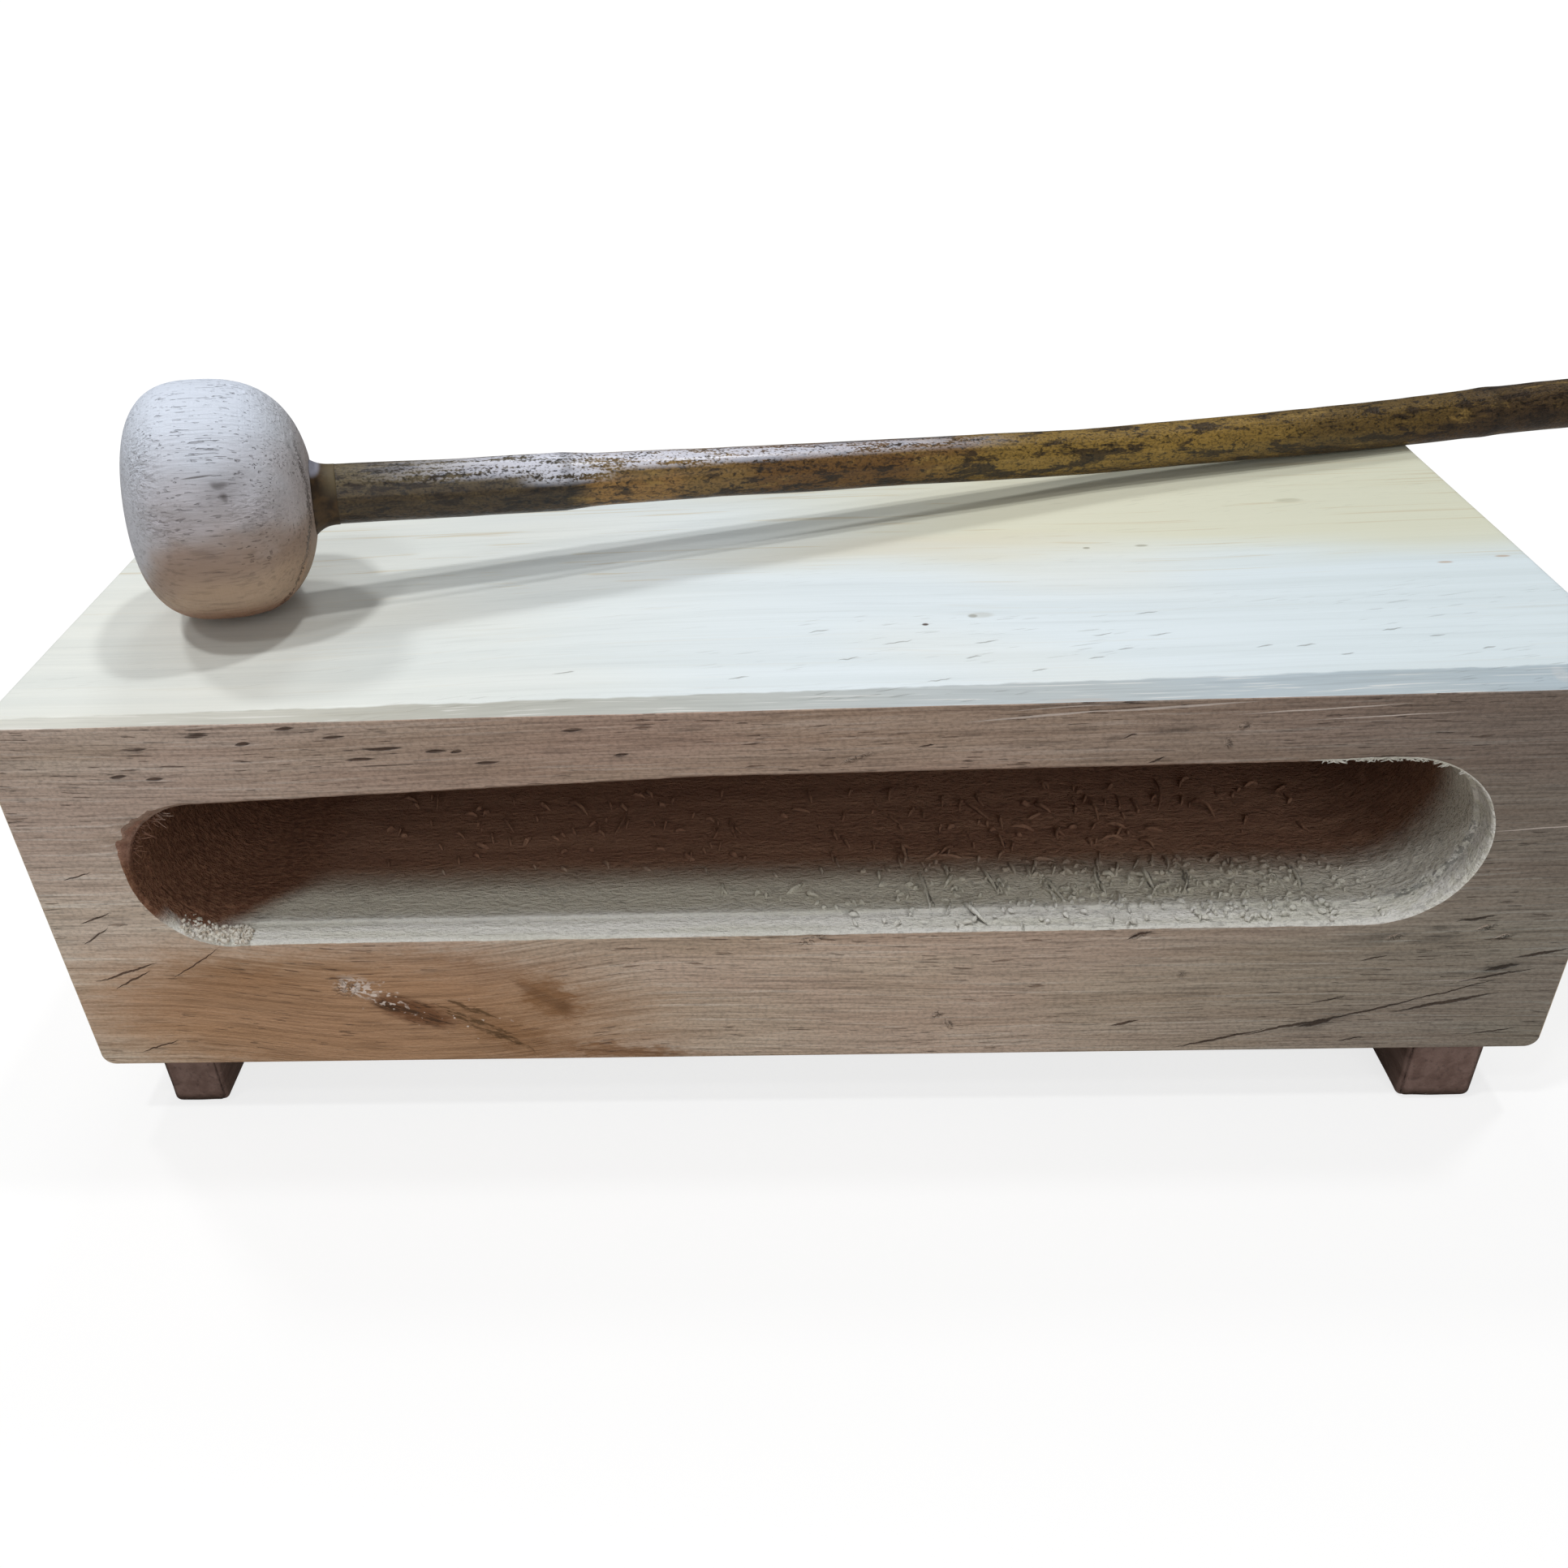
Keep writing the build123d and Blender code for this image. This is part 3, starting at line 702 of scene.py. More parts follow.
def pine_slot():
    """Inside of the slot: pale torn wood at the mouth, rougher further in, with painted shade that browns it
    further in and at its left end.
    """
    wood = Finish("pine_slot", roughness=0.9)
    fuzz = wood.noise((1.8, 0.6, 0.7), 4, 0.7, seed=1)
    flecks = wood.noise((0.9, 0.6, 0.6), 3, 0.6, seed=5)
    pores = wood.noise((3.0, 3.0, 0.6), seed=4)
    depth = wood.y - FRONT + fuzz * 3.0
    slot_ground(wood, fuzz, depth)
    slot_left_end(wood, fuzz, flecks, depth)
    edge = wood.y.step(FRONT + 0.7, FRONT + 0.3) * wood.z.step(38.0, 42.0) * wood.x.step(63.0, 61.0)
    wood.tint(edge, srgb(160, 134, 118))
    # Painted shadow: a dark broken line along the ledge's step at the right end.
    ledge = abs(wood.y - (FRONT + MOUTH_DEPTH)).step(0.2, 0.6, 1.0, 0.0) * flecks.step(0.46, 0.54)
    ledge = ledge * wood.x.step(75.0, 79.0) * wood.z.step(37.0, 34.0)
    wood.shade(ledge * 0.8, 0.3)
    wood.shade(fuzz.step(0.46, 0.3), 0.84)
    wood.shade(flecks.step(0.46, 0.36) * wood.x.step(-20.0, 20.0), 0.76)
    wood.shade(pores.step(0.62, 0.72, 0.0, 0.4), 0.7)
    wood.shade(fibre_shadows(wood) * 0.9, 0.35)
    return wood.done(wood.bump(fuzz + flecks, 0.5))


def crumb_finish():
    """Pale torn wood of the crumbs."""
    wood = Finish("pine_crumbs", roughness=0.9)
    fuzz = wood.noise((0.7, 0.7, 0.7), 3, 0.7)
    wood.colour = wood.mix(fuzz.step(0.36, 0.56), srgb(196, 182, 164), srgb(244, 240, 230))
    return wood.done(wood.bump(fuzz, 0.3))


def end_grain():
    """Sawn ends of the block: growth rings cut across, darker than the sides."""
    wood = Finish("pine_end_grain", roughness=0.7)
    heart_away = ((wood.place - (0, 60.0, -70.0)) * (0, 1, 1)).length()
    warp = wood.noise((90, 55, 55), 0)
    uneven = wood.noise((60, 16, 16), 0, seed=3)
    rings = wood.math("FRACT", (heart_away + warp * 8.0 + uneven * 1.2) / 2.9)
    late = rings.step(0.35, 0.86) * rings.step(1.0, 0.92)
    fuzz = wood.noise((0.5, 0.5, 0.5), 3, seed=2)
    wood.colour = wood.mix(late, srgb(224, 210, 184), srgb(203, 178, 143))
    wood.shade(fuzz.step(0.5, 0.34), 0.88)
    return wood.done(wood.bump(fuzz, 0.12))


def runner_wood():
    """Dark reddish wood of the runners, with short pores along them."""
    wood = Finish("runner_wood", roughness=0.55)
    streaks = wood.noise((2.4, 40, 2.4), 3, 0.6)
    pores = wood.noise((0.5, 4.0, 0.5), seed=2)
    blots = wood.noise((4, 9, 4), seed=3)
    wood.colour = wood.mix(streaks.step(0.35, 0.65), srgb(112, 88, 80), srgb(134, 110, 102))
    wood.tint(blots.step(0.52, 0.68, 0.0, 0.4), srgb(148, 123, 115))
    wood.shade(pores.step(0.42, 0.28), 0.7)
    return wood.done(wood.bump(pores, 0.1))


# Finishes of the mallet

# Each place below is an x and a z of the mallet's frame, then half sizes or another place
HEAD_TEARS = (((6.0, 3.0), (3.6, 2.2)), ((-5.2, 1.8), (3.2, 2.4)), ((-7.2, 8.0), (2.0, 4.0)))
HEAD_CRACK_LINES = (
    ((11.2, 9.6), (12.5, 2.2)), ((12.2, 5.0), (12.3, -3.2)), ((12.5, 0.8), (10.9, -6.6)),
    ((11.6, -4.0), (8.5, -11.2)), ((9.6, -9.2), (6.4, -13.8)),
)
CANE_TINTS = (  # where along the cane each colour comes in, in mm, and the colour
    (46.0, 56.0, srgb(134, 104, 56)),
    (66.0, 76.0, srgb(112, 78, 36)),
    (96.0, 112.0, srgb(142, 113, 50)),
    (150.0, 166.0, srgb(100, 78, 36)),
    (184.0, 196.0, srgb(74, 56, 34)),
)


def head_tones(wood, level):
    """Painted bluish sheen on the top and the left flank, a brown lower part with a darker band above it,
    and a warm side by the handle.
    """
    streaks = wood.noise((30, 3.0, 3.0), 3, 0.6)
    wood.colour = wood.mix(streaks.step(0.35, 0.68), srgb(184, 179, 183), srgb(200, 195, 201))
    # Painted sheen: a lighter, bluish top and left flank.
    wood.tint(level.step(3.0, 13.0), srgb(221, 229, 243))
    wood.tint(wood.x.step(-4.0, -9.5, 0.0, 0.6), srgb(214, 222, 234))
    browning = level + wood.x.step(-3.0, -10.0, 0.0, 6.0)
    wood.tint(browning.step(4.5, -7.0, 0.0, 0.9), srgb(176, 147, 120))
    wood.tint(wood.z.step(-9.5, -13.0, 0.0, 0.8), srgb(142, 100, 76))
    wood.tint(abs(browning + 2.4).step(0.0, 4.6, 0.62, 0.0), srgb(148, 119, 98))
    wood.shade(wood.x.step(5.0, 13.0), (0.86, 0.80, 0.74, 1.0))


def head_pores(wood, level):
    """Share of the pores: clumps of long ones, and short ticks on the upper part."""
    pores = wood.noise((2.2, 0.32, 0.32), 1, seed=5).step(0.65, 0.71)
    pores = pores * wood.noise((8, 6, 6), 1, seed=6).step(0.36, 0.56) * level.step(-5.0, 1.0, 0.25, 1.0)
    ticks = wood.noise((1.3, 0.26, 0.26), 1, seed=12).step(0.68, 0.74)
    return wood.most(pores, ticks * level.step(0.0, 4.0, 0.0, 0.6))


def head_knot(wood, sway, front):
    """Share of the small knot on the front and of the crack near the handle."""
    shaken = wood.place + wood.point(sway, 0.0, sway * 0.4)
    close = wood.place + wood.shake((1.6, 1.6, 1.6)) * 1.1
    knot = wood.most(
        wood.spot((2.2, 7.0), (1.0, 0.5), -10, 0.8, shaken),
        wood.spot((2.8, 5.7), (0.8, 0.5), -20, 0.8, shaken),
        wood.spot((2.5, 6.4), (2.2, 1.6), 0, 0.9, shaken) * 0.45,
        wood.line((-2.6, 7.8), (2.2, 8.2), 0.16),
    )
    crack = wood.lines([(start, end, 0.20) for start, end in HEAD_CRACK_LINES], close)
    return wood.most(knot * front, crack * wood.y.step(-0.5, -3.5))


def head_wood():
    """Pale hardwood of the head: raised pores along the axis, a dark knot and a brown lower part."""
    wood = Finish("head_wood", roughness=0.62, axes=MALLET_AXES)
    sway = (wood.noise((9, 6, 6), 3, seed=7) - 0.5) * 7.0
    level = wood.z + sway
    front = wood.y.step(-2.0, -7.0)
    fine = wood.noise((5, 0.45, 0.45), 3, seed=1)
    lower = wood.noise((4, 0.5, 0.5), seed=8)
    torn_grain = wood.noise((1.8, 0.5, 0.4), seed=9, distortion=0.8)
    torn_place = wood.most(*[wood.spot(centre, radii, -12, 0.7) for centre, radii in HEAD_TEARS])
    pores = head_pores(wood, level)
    head_tones(wood, level)
    wood.shade(fine.step(0.44, 0.28), 0.92)
    wood.shade(lower.step(0.54, 0.68) * level.step(2.0, -3.0), 0.76)
    wood.shade(pores * 0.5, srgb(160, 152, 152))
    wood.shade(torn_grain.step(0.52, 0.62) * (torn_place * front) * 0.3, srgb(150, 142, 140))
    wood.shade(head_knot(wood, sway, front) * 0.8, srgb(118, 112, 108))
    lathe = wood.bump(wood.noise((0.45, 60, 60), seed=2), 0.06)
    height = fine * 0.5 - wood.most(pores, torn_grain * torn_place)
    return wood.done(wood.bump(height, 0.36, lathe))


def cane_colours(cane, blots, crook, edge):
    """Colours along the cane, with a grey top that is partly its own colour and partly painted light,
    painted shade on the underside, and dark and pale blots.
    """
    level = cane.z - crook + (blots - 0.5) * 5.0
    cane.colour = srgb(76, 61, 40)
    for low, high, tint in CANE_TINTS:
        cane.tint(edge.step(low, high), tint)
    # The grey top is partly the cane's own grey-olive and partly painted light; the darker underside is
    # painted shade.
    lit_grey_top = cane.mix(cane.x.step(44.0, 56.0), srgb(124, 113, 86), srgb(118, 98, 56))
    cane.tint(level.step(0.6, 3.2) * cane.x.step(50.0, 66.0, 0.5, 0.15), lit_grey_top)
    cane.tint(level.step(-0.6, -3.0, 0.0, 0.6), srgb(68, 50, 32))
    joint_tan = abs(cane.x - 56.5).step(5.0, 8.5, 0.75, 0.0) * level.step(2.2, 0.4)
    cane.tint(joint_tan, srgb(164, 122, 66))
    cane.tint(blots.step(0.49, 0.40, 0.0, 0.85), srgb(40, 28, 17))
    cane.tint(blots.step(0.56, 0.70, 0.0, 0.45) * cane.x.step(40.0, 56.0, 0.3, 1.0), srgb(176, 144, 78))


def cane_shine(cane, gritty, crook):
    """Painted broken highlight that the photograph shows along the top of the cane."""
    streaked = cane.noise((9.0, 0.8, 0.8), 3, 0.6, seed=9)
    shine = cane.z * 0.94 - cane.y * 0.34 - crook
    painted_highlight = shine.step(3.0, 3.7) * abs(cane.x - 68.0).step(24.0, 52.0, 1.0, 0.0)
    joint_glare = shine.step(2.0, 3.2) * abs(cane.x - RINGS[0]).step(3.0, 8.0, 1.0, 0.0)
    broken = (streaked * 0.7 + gritty * 0.6).step(0.55, 0.70)
    cane.tint(cane.most(painted_highlight, joint_glare) * broken * 0.85, srgb(230, 232, 246))


def cane_finish():
    """Varnished cane: grey-olive near the head, then tan, brown and olive, mottled and glossy."""
    cane = Finish("cane", roughness=0.4, axes=MALLET_AXES)
    for key, value in (("Specular IOR Level", 0.3), ("Coat Weight", 0.22), ("Coat Roughness", 0.2)):
        cane.shader.inputs[key].default_value = value
    blots = cane.noise((6.5, 1.7, 1.7), 4, 0.7, seed=1, distortion=0.4)
    stains = cane.noise((16, 4.5, 4.5), 3, 0.6, seed=4)
    grains = cane.noise((4.0, 0.4, 0.4), 3, seed=2)
    specks = cane.noise((0.9, 0.55, 0.55), 3, seed=3)
    gritty = cane.noise((0.45, 0.3, 0.3), seed=6)
    crook = cane.most(cane.x - CROOK, 0.0) * CROOK_UP
    edge = cane.x + (stains - 0.5) * 26.0
    cane_colours(cane, blots, crook, edge)
    cane.shade(grains.step(0.47, 0.3), 0.72)
    cane.shade(specks.step(0.57, 0.65), 0.32)
    cane.shade(gritty.step(0.52, 0.38), 0.58)
    dark_patch = abs(edge - 43.0).step(1.5, 6.0, 1.0, 0.0) * specks.step(0.40, 0.52)
    cane.shade(dark_patch * 0.5, 0.35)
    cane_shine(cane, gritty, crook)
    around = cane.x + (specks - 0.5) * 3.0
    rings = cane.most(*[abs(around - at).step(0.2, 1.3, 1.0, 0.0) for at in RINGS])
    cane.shade(rings * 0.6, 0.40)
    return cane.done(cane.bump(blots + gritty * 0.5, 0.22), specks.step(0.35, 0.65, 0.6, 0.4))


def glue_finish():
    """Hard glue round the handle, dark with dirt, with a painted highlight on the blob on top."""
    glue = Finish("glue", roughness=0.6, axes=MALLET_AXES)
    glue.shader.inputs["Specular IOR Level"].default_value = 0.3
    cloud = glue.noise((1.4, 1.4, 1.4), 3)
    glue.colour = glue.mix(cloud.step(0.35, 0.65), srgb(48, 35, 21), srgb(78, 58, 34))
    glue.tint(glue.z.step(0.0, 3.0) * glue.x.step(13.2, 15.6), srgb(92, 80, 56))
    # Painted highlight: a pale bluish spot on the blob on top.
    glue.tint(glue.spot((13.1, 4.5), (0.8, 0.8)) * 0.8, srgb(168, 170, 186))
    return glue.done(glue.bump(cloud, 0.15))


# Outlines of the block

LONG, SHORT, CORNER = 300, 66, 10
SIDE_COUNTS = (LONG, CORNER, SHORT, CORNER) * 2
COUNT = sum(SIDE_COUNTS)
RIGHT_SIDE, TOP, LEFT_SIDE = 2, 4, 6
SIDE_OF = np.repeat(np.arange(len(SIDE_COUNTS)), SIDE_COUNTS)


def slot_contour():
    """Slot's outline in the front view, in the steps of SIDE_COUNTS, and its outward normals."""
    left = (SLOT_LEFT_X, SLOT_FLOOR + SLOT_LEFT_RADIUS)
    right = (SLOT_RIGHT_X, SLOT_FLOOR + SLOT_RIGHT_RADIUS)
    rise = SLOT_ROOF - left[1]
    touch = math.atan2(rise, SLOT_CLIMB) + math.acos(SLOT_LEFT_RADIUS / math.hypot(SLOT_CLIMB, rise))
    crest = [(SLOT_LEFT_X + SLOT_CLIMB, SLOT_ROOF)]
    last_arc = arc(left, SLOT_LEFT_RADIUS, math.degrees(touch), 131)
    paths = (
        [arc(left, SLOT_LEFT_RADIUS, 229, 270), arc(right, SLOT_RIGHT_RADIUS, 270, 311)],
        [arc(right, SLOT_RIGHT_RADIUS, 311, 319)],
        [arc(right, SLOT_RIGHT_RADIUS, 319, 401)],
        [arc(right, SLOT_RIGHT_RADIUS, 41, 49)],
        [arc(right, SLOT_RIGHT_RADIUS, 49, 90), crest, last_arc],
        [arc(left, SLOT_LEFT_RADIUS, 131, 139)],
        [arc(left, SLOT_LEFT_RADIUS, 139, 221)],
        [arc(left, SLOT_LEFT_RADIUS, 221, 229)],
    )
    sides = [spread(np.concatenate(path), count) for path, count in zip(paths, SIDE_COUNTS)]
    points = np.concatenate(sides)
    ahead = np.roll(points, -1, axis=0) - np.roll(points, 1, axis=0)
    ahead /= np.linalg.norm(ahead, axis=1)[:, None]
    return points, np.column_stack((ahead[:, 1], -ahead[:, 0]))


def outer_contour():
    """Block's outline in the front view, in the same steps, and its outward normals."""
    foot, crest = FOOT_ROUNDING, CREST_ROUNDING
    paths = (
        np.array([(foot - RIGHT, 0), (RIGHT - foot, 0)]),
        arc((RIGHT - foot, foot), foot, -90, 0),
        np.array([(RIGHT, foot), (RIGHT, HEIGHT - crest)]),
        arc((RIGHT - crest, HEIGHT - crest), crest, 0, 90),
        np.array([(RIGHT - crest, HEIGHT), (crest - RIGHT, HEIGHT)]),
        arc((crest - RIGHT, HEIGHT - crest), crest, 90, 180),
        np.array([(-RIGHT, HEIGHT - crest), (-RIGHT, foot)]),
        arc((foot - RIGHT, foot), foot, 180, 270),
    )
    points = np.concatenate([spread(path, count) for path, count in zip(paths, SIDE_COUNTS)])
    angles = []
    for side, count in enumerate(SIDE_COUNTS):
        turn = 90 * (side % 2) * np.arange(count) / count
        angles.extend(np.radians(90 * (side // 2) - 90 + turn))
    return points, np.column_stack((np.cos(angles), np.sin(angles)))


SLOT, SLOT_OUT = slot_contour()
OUTER, OUTER_OUT = outer_contour()


def front_arris():
    """Share of the top's wear at each step of the outline, and the drop and reach of its edge."""
    top_share = np.where(SIDE_OF == TOP, 1.0, 0.0)
    step = np.arange(CORNER) / CORNER
    top_share[SIDE_OF == TOP - 1] = step
    top_share[SIDE_OF == TOP + 1] = 1 - step
    uneven = rumple(in_space(OUTER), (6, 1, 6))
    drop = np.interp(OUTER[:, 0], (-RIGHT, RIGHT), BEVEL_DROP) + 0.06 * uneven
    reach = np.interp(OUTER[:, 0], (-RIGHT, RIGHT), BEVEL_BACK) + 0.35 * uneven
    drop = FRONT_EASING + (drop - FRONT_EASING) * top_share
    reach = FRONT_EASING + (reach - FRONT_EASING) * top_share
    return top_share, drop, reach


TOP_SHARE, ARRIS_DROP, ARRIS_REACH = front_arris()
FRONT_KIND, TOP_KIND, SLOT_KIND, END_KIND = range(4)
SIDE_KIND = np.where((SIDE_OF == LEFT_SIDE) | (SIDE_OF == RIGHT_SIDE), END_KIND, TOP_KIND)
RIM_KIND = np.where(SIDE_KIND == END_KIND, END_KIND, FRONT_KIND)
RIM_KIND = np.where(TOP_SHARE > 0.5, TOP_KIND, RIM_KIND)

# Shape of the block

# Its rings go from the slot's back wall out over the lip and the front, and on to the back. Each
# ring is its points in the front view, their depth and the finish of the faces after it.

TEARS = (  # x, z and radius of each torn stretch of the lip, how far out and in it goes
    (-84.8, 40.6, 4.6, 1.5, 1.2),
    (-87.0, 37.6, 2.6, 0.9, 0.8),
    (70.5, 46.6, 5.6, 0.15, 0.2),
    (-77.5, 22.9, 4.0, 0.5, 0.4),
    (39.5, 22.1, 2.2, 0.25, 0.4),
)
EASING_TURN = np.radians((18, 36, 54, 72, 90))
BACK_CORE = 28.0
SLOT_END_SHARE = smooth(-SLOT[:, 0], 72, 82)
ROUGH_SHARE = smooth(-SLOT_OUT[:, 1], -0.1, 0.4) * smooth(SLOT[:, 0], -15, 30)
RIDGE_SHARE = smooth(-SLOT_OUT[:, 1], 0.7, 0.95) * smooth(SLOT[:, 0], -20, 15)


def slot_back():
    """Back wall of the slot, from its middle line outward."""
    middle_x = np.clip(SLOT[:, 0], SLOT_LEFT_X, SLOT_RIGHT_X)
    bends_x = (SLOT_LEFT_X, SLOT_LEFT_X + SLOT_CLIMB, SLOT_RIGHT_X)
    bends_z = SLOT_FLOOR + np.array((SLOT_LEFT_RADIUS, SLOT_RIGHT_RADIUS, SLOT_RIGHT_RADIUS))
    core = np.column_stack((middle_x, np.interp(middle_x, bends_x, bends_z)))
    wall = SLOT - MOUTH_LEDGE * SLOT_OUT
    for share in (0.04, 0.3, 0.6, 0.85, 0.96):
        yield core + (wall - core) * share, FRONT + SLOT_DEPTH, SLOT_KIND


def rough_wall(depth, inset):
    """Ring of the slot's wall at a depth, in by inset and by the roughness of torn wood."""
    place = in_space(SLOT, depth)
    fuzz = 0.10 * rumple(place, (3.5, 2.6, 3.5)) + 0.08 * rumple(place, (1.2, 1.2, 1.2))
    fuzz = fuzz + ROUGH_SHARE * 0.26 * rumple(place + 17.0, (1.1, 0.9, 1.1))
    fuzz = fuzz + SLOT_END_SHARE * 0.26 * rumple(place, (0.9, 1.1, 0.9))
    ridge = rumple(place + 2.2 * rumple(place, (9, 7, 9))[:, None], (2.6, 9.0, 4.0))
    fuzz = fuzz + RIDGE_SHARE * 0.16 * smooth(ridge, 0.35, 0.6)
    return SLOT - (inset + np.abs(fuzz))[:, None] * SLOT_OUT


def slot_walls():
    """Walls of the slot's chamber, from its back to the ledge behind the mouth."""
    dark = np.linspace(SLOT_DEPTH - 0.1, 37, 12)
    lit = np.linspace(36, MOUTH_DEPTH + 0.6, 46)
    for depth in (*dark, *lit, MOUTH_DEPTH + 0.1):
        yield rough_wall(depth, MOUTH_LEDGE), FRONT + depth, SLOT_KIND
    yield rough_wall(MOUTH_DEPTH, MOUTH_LEDGE - 0.06), FRONT + MOUTH_DEPTH, SLOT_KIND


def mouth():
    """Wall of the mouth, from the ledge to the lip."""
    ragged = 0.25 * rumple(in_space(SLOT), (0.9, 1, 0.9)) * smooth(SLOT[:, 0], 60, 78)
    shares = (1.0, 0.97, 0.94, 0.82, 0.68, 0.54, 0.4, 0.28, 0.18, 0.1)
    insets = (0.30, 0.1, 0, 0, 0, 0, 0, 0, 0, 0)
    for share, inset in zip(shares, insets):
        place = in_space(SLOT, MOUTH_DEPTH * share)
        fuzz = 0.05 * rumple(place, (2.2, 1.6, 2.2))
        fuzz = fuzz + (0.05 + 0.2 * ROUGH_SHARE) * rumple(place, (0.9, 0.8, 0.9))
        worn = share * (MOUTH_LEDGE - inset) + 0.12 * np.abs(rumple(place, (0.7, 0.9, 0.7)))
        flat = SLOT - (inset + SLOT_END_SHARE * worn + np.abs(fuzz))[:, None] * SLOT_OUT
        depth = MOUTH_DEPTH * share + (ragged if share > 0.9 else 0.0)
        yield flat, FRONT + depth, SLOT_KIND


def front_relief(flat):
    """How far the front face lies behind its plane, from nicks and planing."""
    relief = 0.05 + 0.04 * rumple(in_space(flat), (60, 1, 14))
    for x, z, wide, high, deep in NICKS:
        nick = np.exp(-(((flat[:, 0] - x) / wide) ** 2) - ((flat[:, 1] - z) / high) ** 2)
        relief = relief + deep * nick
    return relief


def lip_and_front():
    """Worn and torn lip of the mouth, then the front face out to the block's edges."""
    place = in_space(SLOT)
    jag = 0.5 + 0.5 * rumple(place, (0.8, 1, 0.8))
    tear_out = np.zeros(COUNT)
    tear_in = np.zeros(COUNT)
    for x, z, radius, out, inward in TEARS:
        near = np.exp(-(((SLOT[:, 0] - x) / radius) ** 2) - ((SLOT[:, 1] - z) / radius) ** 2)
        tear_out += near * out * (0.35 + 0.65 * jag)
        tear_in += near * inward * jag
    lip = 0.03 + 0.05 * np.abs(rumple(place, (1.3, 1, 1.3)))
    lip = lip + 0.12 * np.abs(rumple(place, (4.5, 1, 4.5)))
    for share, out, y in ((0.3, -0.01, 0.31), (0.6, 0.04, 0.17), (0.85, 0.14, 0.09)):
        flat = SLOT + (out + lip + tear_out * share)[:, None] * SLOT_OUT
        yield flat, FRONT + y + tear_in * (1.1 - share), SLOT_KIND

    rim = OUTER - ARRIS_DROP[:, None] * OUTER_OUT
    start = SLOT + (0.25 + lip + tear_out)[:, None] * SLOT_OUT
    even = np.linspace(0, 1, 33)
    dense_ends = 0.5 - 0.5 * np.cos(math.pi * even)
    for share in 0.55 * dense_ends + 0.45 * even:
        flat = start + (rim - start) * share
        y = FRONT + front_relief(flat) * (1 - share**12) + tear_in * 0.6 * np.exp(-share * 16)
        yield flat, y, FRONT_KIND


def front_edges():
    """Eased edges of the front, and the worn slope along its top."""
    for angle, share in zip(EASING_TURN, (0.05, 0.35, 0.65, 0.95, 1.0)):
        inset = (1 - TOP_SHARE) * (1 - np.sin(angle)) + TOP_SHARE * (1 - share)
        back = (1 - TOP_SHARE) * (1 - np.cos(angle)) + TOP_SHARE * share
        yield OUTER - (inset * ARRIS_DROP)[:, None] * OUTER_OUT, FRONT + ARRIS_REACH * back, RIM_KIND


def sides():
    """Top, underside and ends, and their eased edges at the back."""
    start = FRONT + ARRIS_REACH
    end = BACK - BACK_EASING
    for share in (0.004, 0.02, *np.linspace(0.05, 0.98, 44), 0.995, 1.0):
        y = start + (end - start) * share
        hollow = 0.05 + 0.05 * rumple(in_space(OUTER, y), (50, 16, 30))
        hollow = hollow * min(1, share * 25, (1 - share) * 25)
        yield OUTER - hollow[:, None] * OUTER_OUT, y, SIDE_KIND
    for angle in EASING_TURN:
        inset = BACK_EASING * (1 - np.cos(angle))
        yield OUTER - inset * OUTER_OUT, end + BACK_EASING * np.sin(angle), SIDE_KIND


def back_face():
    """Back of the block, in to its middle line."""
    rim = OUTER - BACK_EASING * OUTER_OUT
    core_x = np.clip(OUTER[:, 0], BACK_CORE - RIGHT, RIGHT - BACK_CORE)
    core = np.column_stack((core_x, np.full(COUNT, HEIGHT / 2)))
    for share in (0.995, 0.97, 0.9, 0.8, 0.7, 0.6, 0.5, 0.4, 0.3, 0.2, 0.1, 0.03):
        flat = core + (rim - core) * share
        yield flat, BACK - 0.05 - 0.05 * rumple(in_space(flat), (50, 1, 14)), TOP_KIND


def make_block(finishes):
    rings, bands = [], []
    parts = (slot_back(), slot_walls(), mouth(), lip_and_front(), front_edges(), sides(), back_face())
    for flat, y, kind in itertools.chain(*parts):
        rings.append(in_space(flat, y))
        bands.append(np.broadcast_to(kind, COUNT))
    return ring_mesh("block_wood", BLOCK_PLACE, rings, np.array(bands[:-1]), finishes, SLOT_KIND, TOP_KIND)


def tube(points, radii, sides=5):
    """Rings of a tapered tube along a short path."""
    points = np.asarray(points, float)
    ahead = np.gradient(points, axis=0)
    ahead /= np.linalg.norm(ahead, axis=1)[:, None]
    across = np.cross(ahead, (0.1, 0.2, 1.0))
    across /= np.linalg.norm(across, axis=1)[:, None]
    up = np.cross(across, ahead)
    turn = np.linspace(0, 2 * math.pi, sides, endpoint=False)
    wide = radii[:, None, None] * np.cos(turn)[None, :, None] * across[:, None, :] * 0.55
    high = radii[:, None, None] * np.sin(turn)[None, :, None] * up[:, None, :]
    return points[:, None, :] + wide + high


def join_tubes(name, tubes, finish):
    """One object of many closed tubes, in the block's frame."""
    points, faces = [], []
    for rings in tubes:
        ring_count, step_count = rings.shape[:2]
        index = len(points) + np.arange(ring_count * step_count).reshape(ring_count, step_count)
        points.extend(rings.reshape(-1, 3).tolist())
        faces.extend(ring_faces(index))
        faces.append(index[0].tolist())
        faces.append(index[-1][::-1].tolist())
    return add_piece(name, BLOCK_PLACE, points, faces, [0] * len(faces), [finish])


def half_chord(x, centre_x, radius):
    """How far a circle reaches from the level of its centre at x."""
    return math.sqrt(max(0.0, radius**2 - (x - centre_x) ** 2))


